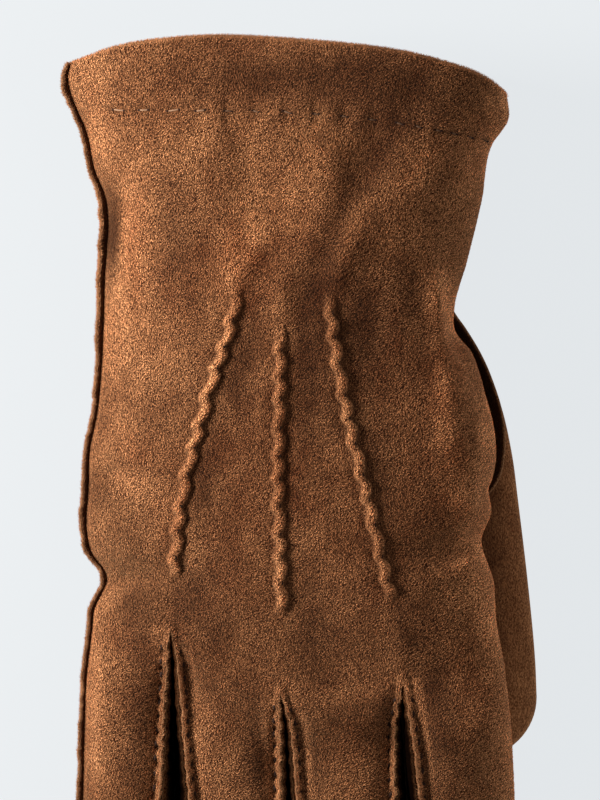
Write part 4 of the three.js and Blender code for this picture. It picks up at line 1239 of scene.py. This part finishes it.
def makeThumb():
    settings, tip = thumbSettings, thumbTip["y"]
    turns = np.linspace(0, 2 * math.pi, settings["sides"], endpoint=False)
    turns = turns + settings["cornerTurn"] * np.sin(4 * turns)
    start = thumbSections["y"][0]

    def rings(inset):
        first = start - (settings["closedEnd"] if inset else 0)
        made = [thumbRing(y, 1, 1, inset, turns)
                for y in np.linspace(first, tip, shareCount(start - tip, settings["step"]))]
        for turn in np.linspace(0, math.radians(85), settings["tipTurns"])[1:]:
            reach, shrink = (thumbTip["round"] - inset) * math.sin(turn), math.cos(turn)
            made.append(thumbRing(tip - reach, shrink, shrink ** thumbTip["blunt"], inset, turns))
        return np.stack(made)

    outer, inner = rings(0), rings(settings["leather"])
    x, y, free = outer[..., 0], outer[..., 1], settings["free"]
    share = ease((x - free["x"]) / free["xFade"]) * ease((free["y"] - y) / free["yFade"])
    share = share * (outer[..., 2] > 1)
    outer[..., 2] += share * sum(softWaves(x, y, size, seed) * rise for size, rise, seed in settings["waves"])
    quads, triangles = tubeFaces(outer)
    upper = np.concatenate([np.tile(np.sin(turns) > 0.05, len(outer)), [False, False]])
    outer, inner = withPoles(outer), withPoles(inner)
    outer[-1, 1] = tip - thumbTip["round"]
    inner[-1, 1] = tip - (thumbTip["round"] - settings["leather"])
    quads = cutThumbHole(outer, inner, quads, upper)
    places, faces, rim = sheetParts(outer, inner, [quads, triangles])
    x, y, shade, pale = places[:, 0], places[:, 1], settings["dark"], settings["pale"]
    # Painted shadow left of the seam, where the hand's folded side shades the thumb; painted light on its
    # right part
    path = np.array(thumbSeamSettings["path"])[::-1]
    inside = np.interp(y, path[:, 1], path[:, 0]) - x
    dark = ease((inside + 0.1) / shade["fade"]) * ease((y - shade["to"]) / shade["endFade"])
    dark = dark * (y < shade["from"])
    rubbed = pale["tone"] * ease((x - pale["x"]) / pale["fade"]) * (1 - dark)
    return meshPiece("thumb_leather", places, faces,
                     {"cutEdgeAndHighlight": cutEdgeOf(outer, rim), "paintedShade": dark, "rubbed": rubbed})


print("thumb")
thumb = makeThumb()
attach(thumb, "root")
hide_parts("thumb")


# Even steps along a smooth curve through corners, and how far along each lies
def smoothPath(corners, steps):
    corners = np.asarray(corners, float)
    length = np.concatenate([[0], np.cumsum(np.linalg.norm(np.diff(corners, axis=0), axis=1))])
    rows = {"s": length, "x": corners[:, 0], "y": corners[:, 1], "z": corners[:, 2]}
    at = np.linspace(0, length[-1], steps)
    return np.stack([lookUp(rows, "s", axis, at) for axis in "xyz"], 1), at


def unit(vectors):
    return vectors / np.linalg.norm(vectors, axis=-1, keepdims=True)


def makeThumbSeam():
    settings = thumbSeamSettings
    path, along = smoothPath(settings["path"], settings["steps"])
    side = unit(np.cross(unit(np.gradient(path, axis=0)), [0, 0, 1.0]))
    section = np.array(settings["section"])
    fade = ease(along / settings["endFade"]) * ease((along[-1] - along) / settings["endFade"])
    wave = settings["waveRise"] * np.sin(along * 2 * math.pi / settings["wavePitch"]) * fade
    widths = section[None, :, :1] * mix(settings["endWidth"], 1, fade)[:, None, None]
    rings = (path[:, None, :] + side[:, None, :] * -widths
             + np.array([0, 0, 1.0]) * (section[None, :, 1:] + wave[:, None, None]))
    # The seam's outer cut edge is pale, partly its own colour and partly painted highlight; its inner side is
    # painted shade, as in the shadow of the hand's folded side
    edge = np.tile((section[:, 0] > settings["edgeFrom"]).astype(float), len(path))
    attributes = {"cutEdgeAndHighlight": np.concatenate([edge * settings["edgeTone"], [0, 0]]),
                  "paintedShade": np.concatenate([1 - edge, [0, 0]])}
    return meshPiece("thumb_seam", withPoles(rings), tubeFaces(rings), attributes)


thumbSeam = makeThumbSeam()
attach(thumbSeam, "root")

# Suede: soft brushed patches, fine light and dark strokes of the nap, and painted light and shade: painted
# shade in the seams, creases, stitch holes and finger gaps, painted highlights on cut edges and ridge tops,
# and painted light and shade in patches over the back
suedeSettings = {
    "deep": (0.036, 0.007, 0.0025),
    "dark": (0.095, 0.023, 0.0075),
    "middle": (0.24, 0.077, 0.028),
    "light": (0.80, 0.392, 0.178),
    # The colour of painted shade in the seams, creases and stitch holes, and how far it is mixed in
    "seam": (0.052, 0.015, 0.006), "paintedShadeShare": 0.85,
    # Cut edges are paler: partly their own colour and partly painted highlight where they face the light
    "edge": (0.60, 0.30, 0.145), "edgeShare": 0.6,
    "rubbed": (1.85, 1.95, 2.0),  # how many times brighter painted light makes the nap
    "paintedDarkening": (0.42, 0.37, 0.35),  # and how bright painted shade leaves it
    "fibre": (1.92, 1.87, 1.86),
    "ground": (0.55, 0.50, 0.46),
    # The colour of painted shade deep in the gaps between the fingers
    "paintedGapShade": (0.004, 0.0018, 0.001),
    "patchSize": 26.0, "smallSize": 6.0,
    "napSize": 0.38, "finerNap": 0.8, "napStretch": 1.6,
    "roughness": 0.95, "shine": 0.12,
    "sheen": 0.3, "sheenRoughness": 0.45, "sheenTint": (1.0, 0.6, 0.3),
    "bump": 0.9, "bumpDepth": 0.0005,  # metres
}


class Nodes:
    def __init__(self, tree):
        self.tree = tree

    # Sets inputs by name, or feeds them where a socket is given
    def feed(self, node, inputs):
        for name, value in inputs.items():
            socket = next(part for part in node.inputs if part.enabled and part.name == name)
            if isinstance(value, bpy.types.NodeSocket):
                self.tree.links.new(value, socket)
            else:
                socket.default_value = value

    def add(self, kind, inputs=None, **settings):
        node = self.tree.nodes.new(kind)
        for name, value in settings.items():
            setattr(node, name, value)
        self.feed(node, inputs or {})
        return node

    def math(self, operation, first, second=None, third=None):
        node = self.add("ShaderNodeMath", operation=operation)
        for socket, value in zip(node.inputs, (first, second, third)):
            if isinstance(value, bpy.types.NodeSocket):
                self.tree.links.new(value, socket)
            elif value is not None:
                socket.default_value = value
        return node.outputs[0]

    def weigh(self, first, firstShare, second, secondShare):
        parts = self.math("MULTIPLY", first, firstShare), self.math("MULTIPLY", second, secondShare)
        return self.math("ADD", *parts)

    def mixColour(self, share, first, second, blend="MIX"):
        node = self.add("ShaderNodeMix", data_type="RGBA", blend_type=blend)
        for socket, value in ((node.inputs[0], share), (node.inputs[6], first), (node.inputs[7], second)):
            if isinstance(value, bpy.types.NodeSocket):
                self.tree.links.new(value, socket)
            else:
                socket.default_value = (*value, 1) if isinstance(value, tuple) else value
        return node.outputs[2]

    def ramp(self, value, low, high):
        inputs = {"Value": value, "From Min": low, "From Max": high}
        return self.add("ShaderNodeMapRange", inputs).outputs["Result"]

    def attribute(self, name):
        return self.add("ShaderNodeAttribute", attribute_name=name).outputs["Fac"]

    def place(self):
        return self.add("ShaderNodeTexCoord").outputs["Object"]


def newMaterial(name):
    material = bpy.data.materials.new(name)
    material.use_nodes = True
    return material, Nodes(material.node_tree)


def makeSuede(name, fibre=False, sheen=suedeSettings["sheen"], shine=suedeSettings["shine"], calm=1.0):
    settings = suedeSettings
    material, nodes = newMaterial(name)
    nodes.tree.nodes.clear()
    place = nodes.place()

    def noise(size, detail, stretch, turn, offset=(0, 0, 0), rough=0.5):
        mapping = nodes.add("ShaderNodeMapping", {
            "Vector": place, "Location": offset, "Rotation": (0, 0, turn), "Scale": (1, 1 / stretch, 1)})
        return nodes.add("ShaderNodeTexNoise", {
            "Vector": mapping.outputs["Vector"], "Scale": 1 / (size * millimetre), "Detail": detail,
            "Roughness": rough}).outputs["Fac"]

    patches = noise(settings["patchSize"], 3.0, 1.5, 0.35)
    small = noise(settings["smallSize"], 2.0, 1.3, -0.4, (0.3, 0.1, 0))
    fine = noise(settings["napSize"], 1.0, settings["napStretch"], -0.5, (0.1, 0.7, 0), 0.6)
    finerSize = settings["napSize"] * settings["finerNap"]
    finer = noise(finerSize, 1.0, settings["napStretch"], -0.9, (0.5, 0.2, 0), 0.6)
    broad = nodes.weigh(nodes.ramp(patches, 0.3, 0.7), 0.6, nodes.ramp(small, 0.3, 0.7), 0.4)
    nap = nodes.weigh(nodes.ramp(fine, 0.42, 0.60), 0.6, nodes.ramp(finer, 0.42, 0.60), 0.4)
    if fibre:  # each fibre is mostly of its own tone
        nap = nodes.weigh(nap, 0.2, nodes.ramp(nodes.attribute("fibre"), -0.5, 1.0), 0.85)
    nap = nodes.math("MULTIPLY_ADD", nap, calm, 0.55 * (1 - calm))
    tone = nodes.mixColour(broad, settings["deep"], settings["dark"])
    lightTone = nodes.mixColour(broad, settings["middle"], settings["light"])
    colour = nodes.mixColour(nodes.ramp(nap, 0.1, 0.95), tone, lightTone)
    colour = nodes.mixColour(1.0, colour, settings["fibre" if fibre else "ground"], "MULTIPLY")
    # Painted light and shade: above 0 the colour is brightened as if lit, below 0 darkened as if in shade
    rubbed = nodes.attribute("rubbed")
    colour = nodes.mixColour(rubbed, colour, settings["rubbed"], "MULTIPLY")
    paintedDarkening = nodes.math("MAXIMUM", nodes.math("MULTIPLY", rubbed, -1.0), 0.0)
    colour = nodes.mixColour(paintedDarkening, colour, settings["paintedDarkening"], "MULTIPLY")
    # Paler cut edges: their own colour and painted highlight
    edge = nodes.math("MULTIPLY", nodes.attribute("cutEdgeAndHighlight"), settings["edgeShare"])
    colour = nodes.mixColour(edge, colour, settings["edge"])
    # Painted shade in the seams, creases and stitch holes
    seam = nodes.math("MULTIPLY", nodes.attribute("paintedShade"), settings["paintedShadeShare"])
    colour = nodes.mixColour(seam, colour, settings["seam"])
    # Painted shade deep in the gaps between the fingers
    colour = nodes.mixColour(nodes.attribute("paintedGapShade"), colour, settings["paintedGapShade"])
    shader = nodes.add("ShaderNodeBsdfPrincipled", {
        "Base Color": colour, "Roughness": settings["roughness"], "Specular IOR Level": shine,
        "Sheen Weight": sheen, "Sheen Roughness": settings["sheenRoughness"],
        "Sheen Tint": (*settings["sheenTint"], 1)})
    if not fibre:
        height = nodes.math("ADD", nap, nodes.math("MULTIPLY", small, 0.8))
        bump = nodes.add("ShaderNodeBump", {
            "Height": height, "Strength": settings["bump"], "Distance": settings["bumpDepth"]})
        nodes.feed(shader, {"Normal": bump.outputs["Normal"]})
    nodes.add("ShaderNodeOutputMaterial", {"Surface": shader.outputs["BSDF"]})
    return material


print("suede")
suede = makeSuede("glove_suede")
inside = makeSuede("glove_suede_inside", sheen=0.0, shine=0.0)
smooth = makeSuede("glove_suede_smooth", calm=0.55)
for piece, material in ((trank, suede), (thumb, smooth), (thumbSeam, suede)):
    piece.data.materials.append(material)
for piece in fourchettes:
    piece.data.materials.append(inside)


# Thread and nap are grown by small trees of nodes, then kept as plain meshes
def newTree(name, inputs):
    tree = bpy.data.node_groups.new(name, "GeometryNodeTree")
    tree.interface.new_socket("Geometry", in_out="INPUT", socket_type="NodeSocketGeometry")
    for label, kind in inputs.items():
        tree.interface.new_socket(label, in_out="INPUT", socket_type="NodeSocket" + kind)
    tree.interface.new_socket("Geometry", in_out="OUTPUT", socket_type="NodeSocketGeometry")
    nodes = Nodes(tree)
    return tree, nodes, nodes.add("NodeGroupInput").outputs


# Every tree ends with its copies made real and given their material
def finishTree(nodes, instances, material):
    real = nodes.add("GeometryNodeRealizeInstances", {"Geometry": instances})
    dressed = nodes.add("GeometryNodeSetMaterial", {
        "Geometry": real.outputs["Geometry"], "Material": material})
    nodes.add("NodeGroupOutput", {"Geometry": dressed.outputs["Geometry"]})


def grow(name, host, tree, values):
    modifier = host.modifiers.new("grow", "NODES")
    modifier.node_group = tree
    for item in tree.interface.items_tree:
        if item.in_out == "INPUT" and item.name in values:
            modifier[item.identifier] = values[item.name]
    bpy.context.view_layer.update()
    evaluated = host.evaluated_get(bpy.context.evaluated_depsgraph_get())
    mesh = bpy.data.meshes.new_from_object(evaluated)
    mesh.name = name
    host.modifiers.clear()
    bpy.data.objects.remove(host, do_unlink=True)
    piece = addObject(name, mesh)
    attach(piece, "root")
    return piece


def attributeNode(nodes, name, kind):
    return nodes.add("GeometryNodeInputNamedAttribute", {"Name": name}, data_type=kind).outputs["Attribute"]


def alignNode(nodes, axis, vector, inputs=None, pivot="AUTO"):
    return nodes.add("FunctionNodeAlignRotationToVector", {"Vector": vector, **(inputs or {})},
                     axis=axis, pivot_axis=pivot).outputs["Rotation"]


def stitchTree():
    tree, nodes, start = newTree("stitches", {
        "Thread radius": "Float", "Dip": "Float", "Rise": "Float", "Material": "Material"})
    corners = {}
    for end, x, height in (("Start", -0.5, "Dip"), ("Middle", 0, "Rise"), ("End", 0.5, "Dip")):
        corner = nodes.add("ShaderNodeCombineXYZ", {"X": x * millimetre, "Z": start[height]})
        corners[end] = corner.outputs[0]
    curve = nodes.add("GeometryNodeCurveQuadraticBezier", {"Resolution": 8, **corners})
    ring = nodes.add("GeometryNodeCurvePrimitiveCircle", {"Resolution": 7, "Radius": start["Thread radius"]})
    tube = nodes.add("GeometryNodeCurveToMesh", {
        "Curve": curve.outputs["Curve"], "Profile Curve": ring.outputs["Curve"], "Fill Caps": True})
    along = alignNode(nodes, "X", attributeNode(nodes, "run", "FLOAT_VECTOR"))
    turned = alignNode(nodes, "Z", attributeNode(nodes, "lift", "FLOAT_VECTOR"), {"Rotation": along}, "X")
    placed = nodes.add("GeometryNodeInstanceOnPoints", {
        "Points": start["Geometry"], "Instance": tube.outputs["Mesh"], "Rotation": turned,
        "Scale": attributeNode(nodes, "size", "FLOAT_VECTOR")})
    finishTree(nodes, placed.outputs["Instances"], start["Material"])
    return tree


backTree = BVHTree.FromPolygons(trankPlaces.tolist(), backFaces.tolist())


# The leather's top at x, y, and the way it faces
def onBack(x, y):
    place, normal, _, _ = backTree.ray_cast(Vector((x, y, 80)), Vector((0, 0, -1)))
    return None if place is None else (np.array(place), np.array(normal) * (1 if normal.z > 0 else -1))


stitchSettings = {
    "hem": {"wide": 0.85, "raise": 0.08, "hole": 1.0, "holeWide": 1.15, "holeOut": 0.1, "holeSink": 0.05},
    "finger": {"first": 5.5, "last": 62, "pitch": 3.95, "length": 1.6, "wide": 1.8, "place": 4, "aside": 0.12,
               "lean": 0.45},
    "point": {"length": 1.3, "wide": 1.1, "aside": 1.12, "phase": 0.75, "lean": 0.5, "leastStand": 0.35},
    "threadRadius": 0.24, "dip": -0.34, "rise": 0.42,
}


def stitchRow(rows, place, run, lift, length, wide, tone):
    rows.append({"place": place, "run": unit(run), "lift": lift, "size": (length, wide, wide), "tone": tone})


def sewHem(rows):
    hem = stitchSettings["hem"]
    for x, length, tone, tilt in zip(*hemStitches.values()):
        y, half = float(hemLine(x)), length / 2
        ends = [onBack(x - half, y), onBack(x, y), onBack(x + half, y)]
        if any(end is None for end in ends):
            continue
        run = ends[2][0] - ends[0][0]
        middle, lift = (ends[0][0] + ends[2][0]) / 2, ends[1][1]
        tilted = run + np.array([0, tilt * length, 0])
        stitchRow(rows, middle + lift * hem["raise"], tilted, lift, length, hem["wide"], tone)
        # A dark piece at each end of the stitch stands for the shade in its hole: painted shade
        for way in (-1, 1):
            hole = middle + way * tilted * (0.5 + hem["holeOut"] / length) - lift * hem["holeSink"]
            stitchRow(rows, hole, run, lift, hem["hole"], hem["holeWide"], 0.0)


# Places at even steps along a line, and which way it runs there
def alongLine(places, step, first, last):
    length = np.concatenate([[0], np.cumsum(np.linalg.norm(np.diff(places, axis=0), axis=1))])
    at = np.arange(first, min(last, length[-1] - 8), step)
    found = [np.stack([np.interp(at + off, length, places[:, k]) for k in range(3)], 1)
             for off in (0, -0.6, 0.6)]
    return found[0], found[2] - found[1]


def sewFingers(rows):
    finger = stitchSettings["finger"]
    for number, side in ((0, 1), (1, -1), (1, 1), (2, -1), (2, 1), (3, -1)):
        column = {"face": "back", "finger": number, "kind": "profile", "side": side,
                  "fork": number if side > 0 else number - 1, "place": finger["place"]}
        places = fingerColumn(column, number, fingerShares())[1]
        lift = unit(np.array([-finger["lean"] * side, 0, 1.0]))
        for place, run in zip(*alongLine(places, finger["pitch"], finger["first"], finger["last"])):
            found = onBack(place[0] - finger["aside"] * side, place[1])
            if found is not None:
                stitchRow(rows, found[0], run, lift, finger["length"], finger["wide"], 0.0)


# The stitches of the three points show on the side away from the light
def sewPoints(rows):
    point = stitchSettings["point"]
    lift = unit(np.array([point["lean"], 0, 1.0]))
    for number, ridge in enumerate(trankSettings["points"]):
        y = np.linspace(ridge["start"], ridge["end"], 900)
        turns = ridgeTurn(number, y) / (2 * math.pi)
        for whole in np.arange(math.ceil(turns[0]), math.floor(turns[-1])):
            at = float(np.interp(whole + point["phase"], turns, y))
            centre = float(lineX(number, at)) + float(ridgeSwing(number, at))
            found = onBack(centre + point["aside"], at)
            if float(ridgeAt(number, at)) < point["leastStand"] or found is None:
                continue
            slope = float(lineX(number, at + 1) - lineX(number, at - 1)) / 2
            stitchRow(rows, found[0], np.array([slope, 1, 0]), lift, point["length"], point["wide"], 0.0)


# The thread's colour goes from dark to pale by its tone. Dark is the thread of the finger seams and points; on
# the hem the tone is painted light and shade, and the dark pieces at the stitches' ends are painted shade in
# the holes
threadSettings = {
    "dark": (0.030, 0.011, 0.006), "pale": (0.56, 0.33, 0.20), "shade": (0.03, 0.015, 0.01),
    "twistSize": 1 / 6, "roughness": 0.75, "shine": 0.2,
}


def makeThread():
    settings = threadSettings
    material, nodes = newMaterial("glove_thread")
    twist = nodes.add("ShaderNodeTexNoise", {
        "Vector": nodes.place(), "Scale": 1 / (settings["twistSize"] * millimetre), "Detail": 1.0})
    colour = nodes.mixColour(nodes.attribute("tone"), settings["dark"], settings["pale"])
    colour = nodes.mixColour(nodes.math("MULTIPLY", twist.outputs["Fac"], 0.5), colour, settings["shade"])
    nodes.feed(nodes.tree.nodes["Principled BSDF"], {
        "Base Color": colour, "Roughness": settings["roughness"], "Specular IOR Level": settings["shine"]})
    return material


def makeStitches():
    settings, rows = stitchSettings, []
    sewHem(rows)
    sewFingers(rows)
    sewPoints(rows)
    mesh = bpy.data.meshes.new("stitch_places")
    mesh.from_pydata([tuple(row["place"] * millimetre) for row in rows], [], [])
    for name, kind, key in (("run", "FLOAT_VECTOR", "vector"), ("lift", "FLOAT_VECTOR", "vector"),
                            ("size", "FLOAT_VECTOR", "vector"), ("tone", "FLOAT", "value")):
        layer = mesh.attributes.new(name, kind, "POINT")
        layer.data.foreach_set(key, np.array([row[name] for row in rows], np.float32).reshape(-1))
    return grow("stitches", addObject("stitch_places", mesh), stitchTree(), {
        "Thread radius": settings["threadRadius"] * millimetre, "Dip": settings["dip"] * millimetre,
        "Rise": settings["rise"] * millimetre, "Material": makeThread()})


print("stitches")
makeStitches()

# The nap: short fibres brushed one way, which lean over the leather and turn a little from place to place.
# Lean, brush, spread and jitter are degrees. Some fibres that keep apart find no room, so crowd asks for more.
napSettings = {
    "short": {"count": 46000, "crowd": 1.9, "apart": 0.42, "width": 0.075, "length": 0.46,
              "lean": 70, "brush": 58, "spread": 40, "jitter": 35, "seed": 1},
    "fine": {"count": 46000, "crowd": 1.9, "apart": 0.42, "width": 0.065, "length": 0.4,
             "lean": 66, "brush": 62, "spread": 50, "jitter": 45, "seed": 2},
    "long": {"count": 46000, "crowd": 1.9, "apart": 0.42, "width": 0.075, "length": 0.5,
             "lean": 74, "brush": 52, "spread": 35, "jitter": 30, "seed": 3},
    "edge": {"count": 24000, "crowd": 1, "apart": 0.0, "width": 0.05, "length": 0.6,
             "lean": 40, "brush": 60, "spread": 60, "jitter": 70, "seed": 4},
}


def napTree():
    kinds = {label: "Float" for label in ("Density", "Apart", "Fibre width", "Fibre length", "Lean", "Brush",
                                          "Spread", "Jitter")}
    tree, nodes, start = newTree("nap", {**kinds, "Seed": "Int", "Material": "Material"})
    spots = nodes.add("GeometryNodeDistributePointsOnFaces", {
        "Mesh": start["Geometry"], "Distance Min": start["Apart"], "Density Max": start["Density"],
        "Density Factor": attributeNode(nodes, "thick", "FLOAT"), "Seed": start["Seed"]},
        distribute_method="POISSON").outputs
    fibre = nodes.add("GeometryNodeMeshCone", {
        "Vertices": 3, "Radius Bottom": start["Fibre width"], "Depth": start["Fibre length"]},
        fill_type="NGON")
    tilt = nodes.add("ShaderNodeCombineXYZ", {"Y": start["Lean"]})
    leaning = nodes.add("GeometryNodeTransform", {
        "Geometry": fibre.outputs["Mesh"], "Rotation": tilt.outputs[0]})

    def chance(low, high, salt):
        node = nodes.add("FunctionNodeRandomValue", {
            "Min": low, "Max": high, "Seed": salt}, data_type="FLOAT")
        return next(socket for socket in node.outputs if socket.enabled)

    swirl = nodes.add("ShaderNodeTexNoise", {
        "Vector": nodes.add("GeometryNodeInputPosition").outputs[0], "Scale": 70.0, "Detail": 2.0})
    wide = nodes.math("MULTIPLY", nodes.math("SUBTRACT", swirl.outputs["Fac"], 0.5),
                      nodes.math("MULTIPLY", start["Spread"], 3.0))
    own = nodes.math("MULTIPLY", chance(-1.0, 1.0, 3), start["Jitter"])
    angle = nodes.math("ADD", nodes.math("ADD", start["Brush"], wide), own)
    heading = nodes.add("ShaderNodeCombineXYZ", {
        "X": nodes.math("COSINE", angle), "Y": nodes.math("SINE", angle)})
    upright = alignNode(nodes, "Z", spots["Normal"])
    turned = alignNode(nodes, "X", heading.outputs[0], {"Rotation": upright}, "Z")
    placed = nodes.add("GeometryNodeInstanceOnPoints", {
        "Points": spots["Points"], "Instance": leaning.outputs["Geometry"], "Rotation": turned,
        "Scale": chance(0.65, 1.3, 4)})
    tagged = nodes.add("GeometryNodeStoreNamedAttribute", {
        "Geometry": placed.outputs["Instances"], "Name": "fibre", "Value": chance(0.0, 1.0, 5)},
        data_type="FLOAT", domain="INSTANCE")
    finishTree(nodes, tagged.outputs["Geometry"], start["Material"])
    return tree


def faceArea(places, faces):
    return 0.5 * np.linalg.norm(faceNormals(places, faces), axis=1).sum()


def makeNap(name, faces, tree, material):
    settings, span = napSettings[name], napSpan
    used, local = np.unique(faces, return_inverse=True)
    tones = {key: values[used] for key, values in trankTones.items()}
    tones["thick"] = mix(span["thin"], 1, ease((trankPlaces[used][:, 1] - span["last"]) / span["fade"]))
    host = meshPiece("nap_host", trankPlaces[used], [local.reshape(faces.shape)], tones)
    full = trankPlaces[faces].mean(1)[:, 1] > span["last"] + span["fade"] / 2
    area = faceArea(trankPlaces, faces[full]) + span["thin"] * faceArea(trankPlaces, faces[~full])
    values = {
        "Density": settings["count"] * settings["crowd"] / (area * millimetre ** 2),
        "Apart": settings["apart"] * millimetre, "Fibre width": settings["width"] * millimetre,
        "Fibre length": settings["length"] * millimetre, "Seed": settings["seed"], "Material": material,
    }
    for key in ("lean", "brush", "spread", "jitter"):
        values[key.capitalize()] = math.radians(settings[key])
    piece = grow("nap_" + name, host, tree, values)
    return piece


print("nap")
napNodes, napSuede = napTree(), makeSuede("glove_nap", fibre=True)
naps = [makeNap(name, edgeFaces if name == "edge" else backFaces, napNodes, napSuede) for name in napSettings]
print("nap faces", [len(piece.data.polygons) for piece in naps])

# The studio: a pale floor, one large soft light from the left, a weaker one from the right, and even pale
# light from all round. Its sizes are metres.
studioSettings = {
    "floorSize": 3.0, "floorColour": (0.08, 0.082, 0.084), "glowColour": (0.93, 0.97, 1.0), "glow": 0.80,
    "underGlove": {"X": (-0.003, 0.034), "Y": (-0.030, 0.106)},  # where it lies: middle, half length
    "keyPlace": (-0.62, 0.12, 0.245), "keySize": 0.2, "keyPower": 9.1, "keyColour": (1.0, 0.95, 0.88),
    "cardPlace": (0.6, -0.05, 0.44), "cardSize": 0.5, "cardPower": 1.2, "cardColour": (1.0, 0.94, 0.86),
    "fill": 0.11, "fillColour": (1.0, 0.95, 0.9),
    "cameraHeight": 2.6, "frameHeight": 0.2, "frameLevel": 0.014, "sensor": 36,
}


# Pale paper that glows as a light table does. Where the glove lies on it, it does not glow: painted shade
# under the glove, which shows dark in the gaps between the fingers
def makeFloor():
    settings = studioSettings
    half = settings["floorSize"] / 2
    mesh = bpy.data.meshes.new("floor")
    corners = [(-half, -half, 0), (half, -half, 0), (half, half, 0), (-half, half, 0)]
    mesh.from_pydata(corners, [], [(0, 1, 2, 3)])
    material, nodes = newMaterial("floor_paper")
    split = nodes.add("ShaderNodeSeparateXYZ", {"Vector": nodes.place()})
    far = []
    for axis, (middle, halfLength) in settings["underGlove"].items():
        away = nodes.math("ABSOLUTE", nodes.math("SUBTRACT", split.outputs[axis], middle))
        far.append(nodes.math("GREATER_THAN", away, halfLength))
    nodes.feed(nodes.tree.nodes["Principled BSDF"], {
        "Base Color": (*settings["floorColour"], 1), "Roughness": 0.9, "Specular IOR Level": 0.1,
        "Emission Color": (*settings["glowColour"], 1),
        "Emission Strength": nodes.math("MULTIPLY", nodes.math("MAXIMUM", *far), settings["glow"])})
    mesh.materials.append(material)
    return addObject("floor", mesh)


def makeStudio():
    settings = studioSettings
    makeFloor()
    for name in ("key", "card"):
        light = bpy.data.lights.new(name + "_light", "AREA")
        light.shape = "DISK"
        light.size = settings[name + "Size"]
        light.energy = settings[name + "Power"]
        light.color = settings[name + "Colour"]
        lamp = addObject(name + "_light", light)
        lamp.location = settings[name + "Place"]
        lamp.rotation_euler = (-Vector(settings[name + "Place"])).to_track_quat("-Z", "Y").to_euler()
    world = bpy.data.worlds.new("studio_air")
    world.use_nodes = True
    Nodes(world.node_tree).feed(world.node_tree.nodes["Background"], {
        "Color": (*settings["fillColour"], 1), "Strength": settings["fill"]})
    bpy.context.scene.world = world
    bpy.context.scene.view_settings.view_transform = "Standard"
    lens = bpy.data.cameras.new("camera")
    lens.sensor_width = settings["sensor"]
    distance = settings["cameraHeight"] - settings["frameLevel"]
    lens.lens = settings["sensor"] * distance / settings["frameHeight"]
    lens.clip_end = 20
    camera = addObject("camera", lens)
    camera.location = (0, 0, settings["cameraHeight"])
    bpy.context.scene.camera = camera


print("studio")
makeStudio()
